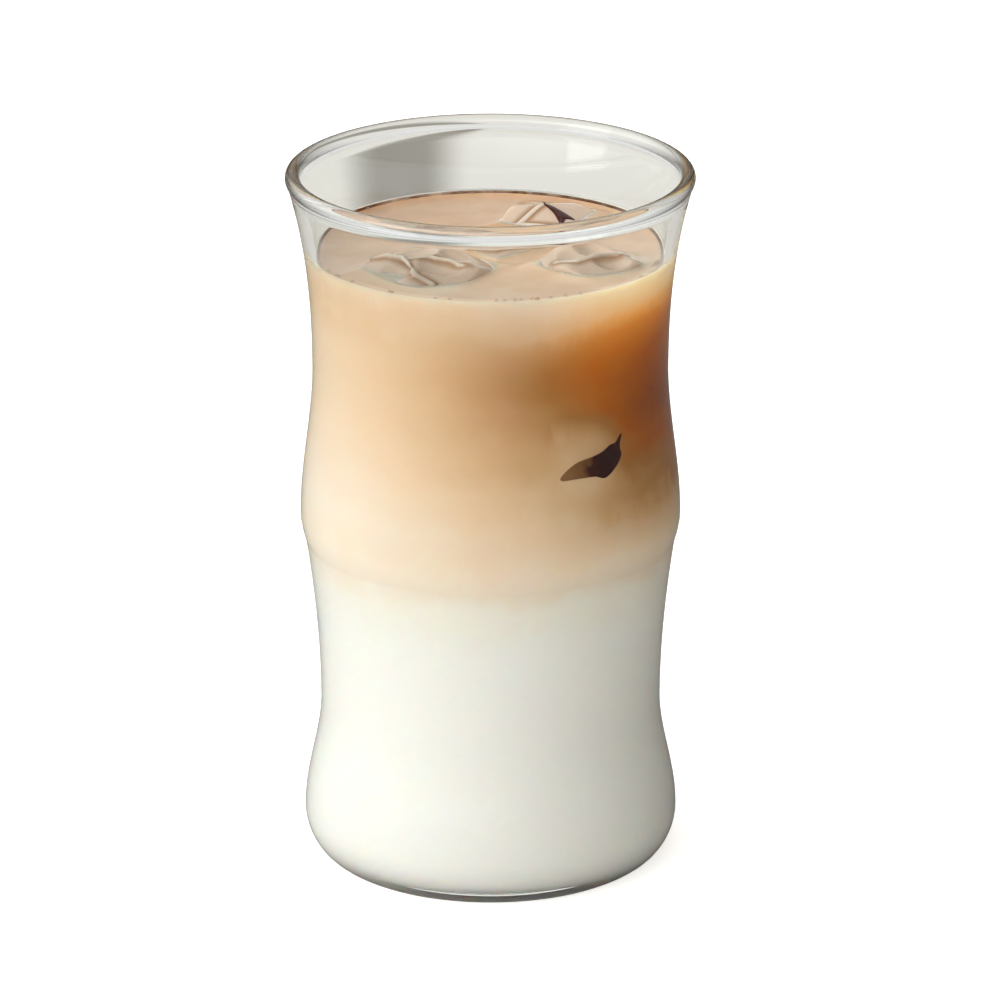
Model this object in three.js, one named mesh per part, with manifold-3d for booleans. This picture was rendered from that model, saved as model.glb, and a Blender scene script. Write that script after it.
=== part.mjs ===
// A bamboo-joint glass tumbler holding a layered iced latte.
// Millimetres, +Z up. The origin is the centre of the foot, on the table.
import * as THREE from 'three';
import { mergeVertices } from 'three/addons/utils/BufferGeometryUtils.js';
import Module from 'manifold-3d';

const wasm = await Module();
wasm.setup();

// Glass: heights of the two internodes, which meet at the ring of the bamboo joint
const LOWER_INTERNODE = 70.7;
const UPPER_INTERNODE = 69.3;

// Glass: outer radii, from the foot up to the mouth
const FOOT_RADIUS = 29.2;
const BASE_RADIUS = 36.7;
const LOWER_WAIST_RADIUS = 33.4;
const CREASE_RADIUS = 36.1;
const RING_RADIUS = 37.15;
const UPPER_WAIST_RADIUS = 34.6;
const MOUTH_RADIUS = 39.6;

// Glass: where those radii lie, measured up from the foot or away from the ring
const BASE_RISE = 9.5;
const LOWER_WAIST_DROP = 38.5;
const CREASE_DROP = 5.4;
const UPPER_WAIST_RISE = 29.8;

// Glass: how far the wall leans out, in millimetres per millimetre of height
const LEAN_BELOW_CREASE = 0.15;
const LEAN_ABOVE_CREASE = 0.32;
const LEAN_AT_MOUTH = 0.31;

// Glass: thicknesses, and the shallow hollow underneath that leaves a ring to stand on
const WALL = 2.3;
const FLOOR = 3.6;
const FLOOR_RADIUS = 27.5;
const HOLLOW_RADIUS = 20;
const HOLLOW_DEPTH = 1.2;

// Drink: how far below the lip it stands, how deep its lower layers are, and its clearance to the glass
const HEADSPACE = 14.6;
const MILK_DEPTH = 62;
const BLEND_DEPTH = 20;
const FILL_GAP = 0.3;

// Ice: tray cubes, wider at the top, with round edges and a hollow melted into the top
const ICE_HEIGHT = 19;
const ICE_DRAFT = 0.1;
const ICE_EDGE = 3;
const ICE_DISH = 1.4;
const ICE_SQUARENESS = 5;
const ICE_LEAN = 3.5;

// Ice: how far it stands out of the drink, its clearance in its seat, and the least room around a cube
const ICE_FREEBOARD = 1.7;
const ICE_GAP = 0.3;
const ICE_SPACING = 1.4;
const SEAT_FLARE = 0.2;

// Floating ice by the wall: side of each cube
const FRONT_LEFT_ICE_SIDE = 21;
const RIGHT_ICE_SIDE = 16;
const BACK_RIGHT_ICE_SIDE = 15.5;

// Floating ice by the wall: bearing of each cube counterclockwise from +X, how far it is turned from facing
// the axis and the bearing that it leans to, in degrees
const FRONT_LEFT_ICE = { side: FRONT_LEFT_ICE_SIDE, bearing: 230, turn: 8, leanTo: 250 };
const RIGHT_ICE = { side: RIGHT_ICE_SIDE, bearing: 331, turn: -10, leanTo: 10 };
const BACK_RIGHT_ICE = { side: BACK_RIGHT_ICE_SIDE, bearing: 58, turn: 6, leanTo: 300 };

// Floating ice in the middle: it has the room that the others leave
const MIDDLE_ICE_TURN = 40;
const MIDDLE_ICE_LEAN_TO = 280;

// Wedged ice: held under the floating cubes, and melted into the curve of the wall
const WEDGED_ICE_SIDE = 17.5;
const WEDGED_ICE_BEARING = 303;
const WEDGED_ICE_TURN = 12;
const WEDGED_ICE_BITE = 2.5;
const WEDGED_ICE_DROP = 1.5;

// Fleck: a lens of unmixed coffee caught between the wedged ice and the wall
const FLECK_LENGTH = 16;
const FLECK_BREADTH = 5;
const FLECK_DEPTH = 2.2;
const FLECK_SLANT = 26;
const FLECK_DROP = 5;
const FLECK_BEARING = 305;

// How finely curves are divided
const ROUND_STEPS = 48;
const WALL_STEPS = 4;
const HEEL_STEPS = 3;
const LIP_STEPS = 2;
const ICE_STEPS = 24;
const ICE_EDGE_STEPS = 1;
const FLECK_STEPS = 16;

const glassLook = { color: 0xeef3f2, roughness: 0.02, metalness: 0, transparent: true, opacity: 0.3 };
const milkLook = { color: 0xf4efe3, roughness: 0.25, metalness: 0 };
const blendLook = { color: 0xe3c9a4, roughness: 0.25, metalness: 0 };
const coffeeLook = { color: 0xc69a68, roughness: 0.2, metalness: 0 };
const iceLook = { color: 0xe6ddd2, roughness: 0.05, metalness: 0, transparent: true, opacity: 0.45 };
const fleckLook = { color: 0x2a0d06, roughness: 0.1, metalness: 0 };

const radians = THREE.MathUtils.degToRad;

const height = LOWER_INTERNODE + UPPER_INTERNODE;
const lipRadius = WALL / 2;
const wallTop = height - lipRadius;
const drinkBottom = FLOOR + FILL_GAP;
const milkTop = FLOOR + MILK_DEPTH;
const blendTop = milkTop + BLEND_DEPTH;
const drinkTop = height - HEADSPACE;

// The outer wall passes through these stations, smooth at each but the crease under the ring.
const stations = [
  { z: BASE_RISE, r: BASE_RADIUS, leanIn: 0, leanOut: 0 },
  { z: LOWER_INTERNODE - LOWER_WAIST_DROP, r: LOWER_WAIST_RADIUS, leanIn: 0, leanOut: 0 },
  {
    z: LOWER_INTERNODE - CREASE_DROP,
    r: CREASE_RADIUS,
    leanIn: LEAN_BELOW_CREASE,
    leanOut: LEAN_ABOVE_CREASE,
  },
  { z: LOWER_INTERNODE, r: RING_RADIUS, leanIn: 0, leanOut: 0 },
  { z: LOWER_INTERNODE + UPPER_WAIST_RISE, r: UPPER_WAIST_RADIUS, leanIn: 0, leanOut: 0 },
  { z: wallTop, r: MOUTH_RADIUS, leanIn: LEAN_AT_MOUTH, leanOut: LEAN_AT_MOUTH },
];

// Outer radius of the wall at a height: a cubic between the two stations around it.
function wallRadius(z) {
  const found = stations.findIndex((station) => station.z >= z);
  const upper = found < 0 ? stations.length - 1 : Math.max(found, 1);
  const a = stations[upper - 1];
  const b = stations[upper];
  const span = b.z - a.z;
  const t = (z - a.z) / span;
  const across = (b.r - a.r) * t * t * (3 - 2 * t);
  const leaving = a.leanOut * span * t * (1 - t) * (1 - t);
  const arriving = b.leanIn * span * t * t * (t - 1);
  return a.r + across + leaving + arriving;
}

// Radius inside the glass at a height above the heel, drawn in by a gap.
function insideRadius(z, gap = 0) {
  return wallRadius(z) - WALL - gap;
}

// Heights at which the wall is drawn between two heights: its stations and even steps between them.
function wallHeights(from, to) {
  const steps = stations.slice(1).flatMap((station, i) => {
    const rise = station.z - stations[i].z;
    return Array.from({ length: WALL_STEPS }, (_, step) => stations[i].z + (rise * step) / WALL_STEPS);
  });
  return [from, ...steps.filter((z) => z > from + FILL_GAP && z < to - FILL_GAP), to];
}

// The quarter ellipse inside the heel, from the floor out to the wall, drawn in by a gap.
function insideHeel(gap = 0) {
  const heel = new THREE.Path();
  const reach = BASE_RADIUS - WALL - FLOOR_RADIUS - gap;
  heel.absellipse(FLOOR_RADIUS, BASE_RISE, reach, BASE_RISE - FLOOR - gap, -Math.PI / 2, 0);
  return heel.getPoints(HEEL_STEPS);
}

// A solid of revolution about Z from an outline of radius and height.
function revolve(outline, steps) {
  return new THREE.LatheGeometry(outline, steps).rotateX(Math.PI / 2);
}

// A closed geometry as a solid that can be cut and joined.
function toSolid(geometry) {
  const bare = geometry.clone();
  bare.deleteAttribute('normal');
  bare.deleteAttribute('uv');
  const { attributes, index } = mergeVertices(bare);
  const vertProperties = new Float32Array(attributes.position.array);
  const triVerts = new Uint32Array(index.array);
  return new wasm.Manifold(new wasm.Mesh({ numProp: 3, vertProperties, triVerts }));
}

// A cut solid as a geometry again.
function toGeometry(solid) {
  const { vertProperties, triVerts } = solid.getMesh();
  const geometry = new THREE.BufferGeometry();
  geometry.setAttribute('position', new THREE.BufferAttribute(vertProperties, 3));
  geometry.setIndex(new THREE.BufferAttribute(triVerts, 1));
  geometry.computeVertexNormals();
  return geometry;
}

function piece(name, geometry, look) {
  const mesh = new THREE.Mesh(geometry, new THREE.MeshStandardMaterial(look));
  mesh.name = name;
  return mesh;
}

// The glass: foot ring, round heel, bamboo wall, fire-polished lip, and the same wall again inside.
function tumblerGeometry() {
  const foot = new THREE.Path();
  foot.moveTo(0, HOLLOW_DEPTH);
  foot.quadraticCurveTo(HOLLOW_RADIUS / 2, HOLLOW_DEPTH, HOLLOW_RADIUS, 0);
  foot.lineTo(FOOT_RADIUS, 0);
  foot.absellipse(FOOT_RADIUS, BASE_RISE, BASE_RADIUS - FOOT_RADIUS, BASE_RISE, -Math.PI / 2, 0);
  const lip = new THREE.Path();
  lip.absarc(MOUTH_RADIUS - lipRadius, wallTop, lipRadius, 0, Math.PI);
  const levels = wallHeights(BASE_RISE, wallTop);
  const outside = levels.map((z) => new THREE.Vector2(wallRadius(z), z));
  const inside = levels.map((z) => new THREE.Vector2(insideRadius(z), z));
  const outline = [
    ...foot.getPoints(HEEL_STEPS),
    ...outside.slice(1),
    ...lip.getPoints(LIP_STEPS).slice(1, -1),
    ...inside.slice(1).reverse(),
    ...insideHeel().reverse(),
    new THREE.Vector2(0, FLOOR),
  ];
  return revolve(outline, ROUND_STEPS);
}

// A layer of the drink, from the floor of the glass or from the layer below it up to a height.
function layerGeometry(bottom, top) {
  const onFloor = bottom === drinkBottom;
  const levels = wallHeights(onFloor ? BASE_RISE : bottom, top);
  const side = levels.map((z) => new THREE.Vector2(insideRadius(z, FILL_GAP), z));
  const outline = [
    new THREE.Vector2(0, bottom),
    ...(onFloor ? insideHeel(FILL_GAP).slice(0, -1) : []),
    ...side,
    new THREE.Vector2(0, top),
  ];
  return revolve(outline, ROUND_STEPS);
}

// Turns a round solid into one with a rounded square plan of the same breadth.
function squareUp(geometry) {
  const position = geometry.getAttribute('position');
  for (let i = 0; i < position.count; i += 1) {
    const x = position.getX(i);
    const y = position.getY(i);
    const angle = Math.atan2(y, x);
    const alongX = Math.abs(Math.cos(angle)) ** ICE_SQUARENESS;
    const alongY = Math.abs(Math.sin(angle)) ** ICE_SQUARENESS;
    const grown = (alongX + alongY) ** (-1 / ICE_SQUARENESS);
    position.setXY(i, x * grown, y * grown);
  }
  return geometry;
}

// Half the breadth of a cube of a given side at a height above its middle.
function iceHalf(side, z) {
  return side / 2 + ICE_DRAFT * z;
}

const iceShoulder = ICE_HEIGHT / 2 - ICE_EDGE;

// The underside, round lower edge and drafted side of a cube, or of a seat that stands a gap outside it.
function iceSide(side, gap) {
  const bottom = -ICE_HEIGHT / 2 - gap;
  const half = iceHalf(side, -ICE_HEIGHT / 2) + gap;
  const edge = Math.min(ICE_EDGE, half / 2);
  const outline = new THREE.Path();
  outline.moveTo(0, bottom);
  outline.lineTo(half - edge, bottom);
  outline.absarc(half - edge, bottom + edge, edge, -Math.PI / 2, 0);
  outline.lineTo(iceHalf(side, iceShoulder) + gap, iceShoulder);
  return outline;
}

// A melted cube about its own middle, grown by a gap where it is a seat inside the drink.
function iceGeometry(side, gap = 0) {
  const outline = iceSide(side, gap);
  const half = iceHalf(side, iceShoulder) + gap;
  const edge = Math.min(ICE_EDGE, half / 2);
  const dished = ICE_HEIGHT / 2 - ICE_DISH + gap;
  outline.absellipse(half - edge, iceShoulder, edge, ICE_EDGE + gap, 0, Math.PI / 2);
  outline.quadraticCurveTo((half - edge) / 2, dished, 0, dished);
  return squareUp(revolve(outline.getPoints(ICE_EDGE_STEPS), ICE_STEPS));
}

// The seat that a floating cube leaves in the drink: open above and flared, so the cube lifts straight out.
function seatGeometry(side) {
  const outline = iceSide(side, ICE_GAP);
  const rise = HEADSPACE + ICE_HEIGHT;
  const mouth = iceHalf(side, iceShoulder) + ICE_GAP + SEAT_FLARE * rise;
  outline.lineTo(mouth, iceShoulder + rise);
  outline.lineTo(0, iceShoulder + rise);
  return squareUp(revolve(outline.getPoints(ICE_EDGE_STEPS), ICE_STEPS));
}

// Turns, leans and moves a shape that was made about its own middle.
function placed(geometry, { turn, leanTo, at }) {
  const hinge = new THREE.Vector3(-Math.sin(radians(leanTo)), Math.cos(radians(leanTo)), 0);
  const lean = new THREE.Matrix4().makeRotationAxis(hinge, radians(ICE_LEAN));
  return geometry.rotateZ(radians(turn)).applyMatrix4(lean).translate(at.x, at.y, at.z);
}

// A point at a bearing and a distance from the axis.
function polar(bearing, distance, z) {
  const angle = radians(bearing);
  return new THREE.Vector3(distance * Math.cos(angle), distance * Math.sin(angle), z);
}

// Floating ice: each cube by the wall stands off the glass, and the middle one off all of them.
const floatMiddle = drinkTop + ICE_FREEBOARD - ICE_HEIGHT / 2;
const floatBottom = floatMiddle - ICE_HEIGHT / 2;
const leanShift = (ICE_HEIGHT / 2) * Math.sin(radians(ICE_LEAN));
const iceRoom = ICE_SPACING + leanShift;
const insideAtIce = Math.min(...wallHeights(floatBottom, drinkTop).map((z) => insideRadius(z)));

// How far a cube's corners reach from its middle, along the line from the axis and across it.
const cornerReach = 2 ** (1 / 2 - 1 / ICE_SQUARENESS);
function corner(side, turn) {
  const reach = iceHalf(side, iceShoulder) * cornerReach;
  const angle = Math.PI / 4 - Math.abs(radians(turn));
  return { along: reach * Math.cos(angle), across: reach * Math.sin(angle) };
}

// The distance from the axis at which a cube's outer corners are clear of the glass.
function wallIceDistance({ side, turn }) {
  const { along, across } = corner(side, turn);
  return Math.sqrt((insideAtIce - iceRoom) ** 2 - across ** 2) - along;
}

// How far from the axis a cube by the wall begins.
function innerReach(ice) {
  return wallIceDistance(ice) - corner(ice.side, ice.turn).along;
}

// The middle cube lies halfway between the front-left cube and the one across from it.
const wallIce = [FRONT_LEFT_ICE, RIGHT_ICE, BACK_RIGHT_ICE];
const middleShift = (innerReach(BACK_RIGHT_ICE) - innerReach(FRONT_LEFT_ICE)) / 2;
const middleAt = polar(FRONT_LEFT_ICE.bearing + 180, middleShift, floatMiddle);
const rooms = wallIce.map((ice) => innerReach(ice) - middleAt.dot(polar(ice.bearing, 1, 0)));
const middleReach = Math.min(...rooms) - iceRoom;
const middleSide = 2 * (middleReach / cornerReach - ICE_DRAFT * iceShoulder);

function wallFloat(name, ice) {
  const at = polar(ice.bearing, wallIceDistance(ice), floatMiddle);
  return { name, side: ice.side, seat: { turn: ice.bearing + ice.turn, leanTo: ice.leanTo, at } };
}

const floats = [
  wallFloat('ice_cube_front_left', FRONT_LEFT_ICE),
  wallFloat('ice_cube_right', RIGHT_ICE),
  wallFloat('ice_cube_back_right', BACK_RIGHT_ICE),
  {
    name: 'ice_cube_middle',
    side: middleSide,
    seat: { turn: MIDDLE_ICE_TURN, leanTo: MIDDLE_ICE_LEAN_TO, at: middleAt },
  },
];

// Wedged ice: just under the floating cubes, biting into the wall, where it is trimmed to the drink's side.
const wedgedMiddle = floatBottom - WEDGED_ICE_DROP - leanShift - ICE_HEIGHT / 2;
const wedgedDistance = insideRadius(wedgedMiddle) + WEDGED_ICE_BITE - WEDGED_ICE_SIDE / 2;
const wedgedSeat = {
  turn: WEDGED_ICE_BEARING + WEDGED_ICE_TURN,
  leanTo: WEDGED_ICE_BEARING,
  at: polar(WEDGED_ICE_BEARING, wedgedDistance, wedgedMiddle),
};

// Fleck: it lies along the wall and slants, and a gap makes the seat that it leaves.
function fleckSolid(gap) {
  const z = wedgedMiddle - FLECK_DROP;
  const at = polar(FLECK_BEARING, insideRadius(z, FILL_GAP), z);
  const lens = new THREE.SphereGeometry(1, FLECK_STEPS, FLECK_STEPS / 2);
  lens.scale(FLECK_DEPTH + gap, FLECK_LENGTH / 2 + gap, FLECK_BREADTH / 2 + gap);
  lens.rotateX(radians(FLECK_SLANT)).rotateZ(radians(FLECK_BEARING));
  return toSolid(lens.translate(at.x, at.y, at.z));
}

const wholeDrink = toSolid(layerGeometry(drinkBottom, drinkTop));
const fleckSeat = fleckSolid(ICE_GAP);
const iceSeats = [
  ...floats.map(({ side, seat }) => toSolid(placed(seatGeometry(side), seat))),
  toSolid(placed(iceGeometry(WEDGED_ICE_SIDE, ICE_GAP), wedgedSeat)),
];

// A layer with the seats of the ice and the fleck cut out of it.
function seatedLayer(bottom, top) {
  const layer = toSolid(layerGeometry(bottom, top));
  return toGeometry([...iceSeats, fleckSeat].reduce((left, seat) => left.subtract(seat), layer));
}

function wedgedIceGeometry() {
  const block = toSolid(placed(iceGeometry(WEDGED_ICE_SIDE), wedgedSeat));
  return toGeometry(block.intersect(wholeDrink).subtract(fleckSeat));
}

const glass = new THREE.Group();
glass.add(piece('tumbler', tumblerGeometry(), glassLook));

const drink = new THREE.Group();
drink.add(piece('milk_layer', layerGeometry(drinkBottom, milkTop), milkLook));
drink.add(piece('blend_layer', seatedLayer(milkTop, blendTop), blendLook));
drink.add(piece('coffee_layer', seatedLayer(blendTop, drinkTop), coffeeLook));

const ice = new THREE.Group();
for (const { name, side, seat } of floats) {
  ice.add(piece(name, placed(iceGeometry(side), seat), iceLook));
}
ice.add(piece('ice_cube_wedged', wedgedIceGeometry(), iceLook));
ice.add(piece('coffee_fleck', toGeometry(fleckSolid(0).intersect(wholeDrink)), fleckLook));

const part = new THREE.Group();
part.add(glass, drink, ice);

export default part;
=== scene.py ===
"""Looks of a bamboo-joint glass tumbler that holds an iced latte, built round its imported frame.

Lengths are in millimetres and angles in degrees until a mesh, lamp or camera is made, in metres.
"""
import logging
import math
from collections.abc import Sequence
from dataclasses import dataclass, field
from enum import Enum

import bmesh
import bpy
import numpy as np
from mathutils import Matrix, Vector, noise


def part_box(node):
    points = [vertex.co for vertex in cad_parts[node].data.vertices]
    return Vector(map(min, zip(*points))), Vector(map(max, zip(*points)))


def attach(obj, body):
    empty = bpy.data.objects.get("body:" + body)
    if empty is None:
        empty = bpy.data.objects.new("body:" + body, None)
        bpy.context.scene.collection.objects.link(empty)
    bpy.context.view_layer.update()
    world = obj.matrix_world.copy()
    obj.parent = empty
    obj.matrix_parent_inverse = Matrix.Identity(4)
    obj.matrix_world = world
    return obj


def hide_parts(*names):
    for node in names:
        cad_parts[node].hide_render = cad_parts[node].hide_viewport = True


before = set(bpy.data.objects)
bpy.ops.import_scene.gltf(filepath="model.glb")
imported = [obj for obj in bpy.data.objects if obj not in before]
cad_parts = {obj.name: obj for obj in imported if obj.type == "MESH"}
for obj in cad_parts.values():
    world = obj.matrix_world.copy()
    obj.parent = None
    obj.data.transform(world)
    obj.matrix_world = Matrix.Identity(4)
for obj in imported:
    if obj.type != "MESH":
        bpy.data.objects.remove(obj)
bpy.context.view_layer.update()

log = logging.getLogger("iced_latte")

MM = 0.001
GLASS_BODY = "glass_and_drink"
FILL_GAP = 0.3          # the frame's clearance between the drink and the glass
WET_CONTACT = 0.06      # how far what wets the glass is drawn into it, so that no air shows between them
ICE_CONTACT = 0.08      # how far the drink is drawn into the ice that it wets
ON_GLASS = 0.1          # a face of the drink that is as near as this to the glass lies against it
EDGE_CLIMB = 1.1        # how far the open surface lies under the top of the frame's drink

PRESSED = "pressed"     # how firmly a point of the held ice lies against the glass
# the ridge distance places the painted highlight and painted shade along the ice's ridges
RIDGE = "ridge"         # how far a point of the ice lies from a ridge

Socket = bpy.types.NodeSocket
Tree = bpy.types.NodeTree


def linear(colour: str) -> tuple[float, float, float, float]:
    """Turns an sRGB hex colour into linear light.

    Args:
        colour: Six hex digits, with or without a leading mark.

    Returns:
        Red, green, blue and an alpha of one.
    """
    digits = colour.lstrip("#")
    channels = [int(digits[i:i + 2], 16) / 255 for i in (0, 2, 4)]
    light = [c / 12.92 if c <= 0.04045 else ((c + 0.055) / 1.055) ** 2.4 for c in channels]
    return (*light, 1.0)


def add_node(tree: Tree, kind: str, values: dict | None = None, links: dict | None = None,
             **settings: object) -> bpy.types.Node:
    """Adds a node with its settings, input values and the links into it.

    Args:
        tree: The tree that gets the node.
        kind: The node's type name.
        values: Input values by socket name or number.
        links: Output sockets to link, by input socket name or number.
        **settings: Properties of the node.

    Returns:
        The new node.
    """
    node = tree.nodes.new(kind)
    for name, value in settings.items():
        setattr(node, name, value)
    for name, value in (values or {}).items():
        node.inputs[name].default_value = value
    for name, socket in (links or {}).items():
        tree.links.new(socket, node.inputs[name])
    return node


def set_ramp(node: bpy.types.Node, stops: Sequence[tuple[float, tuple]]) -> None:
    """Puts colour stops on a ramp node.

    Args:
        node: The ramp node.
        stops: Position and linear colour of each stop, in order.
    """
    elements = node.color_ramp.elements
    while len(elements) < len(stops):
        elements.new(1.0)
    for element, (position, colour) in zip(elements, stops):
        element.position = position
        element.color = colour


def shades(*stops: tuple[float, str]) -> list[tuple[float, tuple]]:
    """Turns stops in hex colours into stops in linear light.

    Args:
        *stops: Position and hex colour of each stop, in order.

    Returns:
        The same stops for a ramp.
    """
    return [(position, linear(colour)) for position, colour in stops]


def new_material(name: str) -> tuple[bpy.types.Material, Tree, bpy.types.Node]:
    """Makes an empty node material.

    Args:
        name: The material's name.

    Returns:
        The material, its tree and its output node.
    """
    material = bpy.data.materials.new(name)
    material.use_nodes = True
    material.node_tree.nodes.clear()
    output = add_node(material.node_tree, "ShaderNodeOutputMaterial")
    return material, material.node_tree, output


def way_to(bearing: float, pitch: float) -> tuple[float, float, float]:
    """Turns a bearing and a pitch into a direction.

    Args:
        bearing: Degrees round the axis, from +X towards +Y.
        pitch: Degrees above the level.

    Returns:
        The unit direction.
    """
    b, p = math.radians(bearing), math.radians(pitch)
    return math.cos(b) * math.cos(p), math.sin(b) * math.cos(p), math.sin(p)


def seen_through_glass(tree: Tree, path: bpy.types.Node) -> Socket:
    """Adds nodes that find the rays of the eye that have come through glass.

    Args:
        tree: The tree that gets the nodes.
        path: Its Light Path node.

    Returns:
        One for such a ray, and nothing for a ray that a matt surface has scattered.
    """
    straight = add_node(tree, "ShaderNodeMath", {1: 0.5}, {0: path.outputs["Diffuse Depth"]},
                        operation="LESS_THAN")
    return add_node(tree, "ShaderNodeMath", None,
                    {0: path.outputs["Is Transmission Ray"], 1: straight.outputs[0]},
                    operation="MULTIPLY").outputs[0]


class LatteFace(Enum):
    """Where a face of the drink lies, which sets how wet and how strong it looks, and where light or shade is
    painted on it.
    """

    SIDE = "against_glass"
    SURFACE = "open_surface"
    # painted shade: the dark line where the drink climbs the glass
    EDGE = "edge_painted_shade"
    # painted light: paler than the side, in place of light that comes in through the ice
    SEAT = "against_ice_painted_light"
    FILM = "over_held_ice"


@dataclass(frozen=True)
class ClearGlass:
    """Borosilicate glass, blown and fire polished: clear, with a faint ripple and no colour of its own; painted
    shade darkens thin lines on the lip.
    """

    name: str = "borosilicate_glass"
    tint: str = "FAFCFB"
    ior: float = 1.47
    roughness: float = 0.0
    ripple_mm: float = 26.0
    ripple_depth_mm: float = 0.012
    lip_painted_shade: str = "4E4C49"
    lip_depth: float = 2.4
    lip_shade_facing: tuple[float, float] = (0.35, 0.7)

    def material(self, top: float) -> bpy.types.Material:
        """Builds the node material.

        Args:
            top: Height of the lip, which gets painted shade, thin dark lines where the eye looks along it.

        Returns:
            The material.
        """
        material, tree, output = new_material(self.name)
        place = add_node(tree, "ShaderNodeTexCoord")
        ripple = add_node(tree, "ShaderNodeTexNoise", {"Scale": 1 / (self.ripple_mm * MM), "Detail": 1.0},
                          {"Vector": place.outputs["Object"]})
        bump = add_node(tree, "ShaderNodeBump", {"Strength": 1.0, "Distance": self.ripple_depth_mm * MM},
                        {"Height": ripple.outputs["Fac"]})
        parts = add_node(tree, "ShaderNodeSeparateXYZ", None, {0: place.outputs["Object"]})
        # painted shade: the lip is tinted dark where the eye looks along it, in place of the dark lines of the
        # rim
        on_lip = add_node(tree, "ShaderNodeMath", {1: (top - self.lip_depth) * MM}, {0: parts.outputs["Z"]},
                          operation="GREATER_THAN")
        along = add_node(tree, "ShaderNodeLayerWeight", {"Blend": 0.5})
        line = add_node(tree, "ShaderNodeMapRange",
                        {"From Min": self.lip_shade_facing[0], "From Max": self.lip_shade_facing[1]},
                        {"Value": along.outputs["Facing"]})
        dark = add_node(tree, "ShaderNodeMath", None, {0: on_lip.outputs[0], 1: line.outputs["Result"]},
                        operation="MULTIPLY")
        tint = add_node(tree, "ShaderNodeMixRGB", {1: linear(self.tint), 2: linear(self.lip_painted_shade)},
                        {0: dark.outputs[0]})
        shader = add_node(tree, "ShaderNodeBsdfPrincipled",
                          {"Roughness": self.roughness, "IOR": self.ior, "Transmission Weight": 1.0},
                          {"Base Color": tint.outputs["Color"], "Normal": bump.outputs["Normal"]})
        tree.links.new(shader.outputs["BSDF"], output.inputs["Surface"])
        return material


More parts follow.
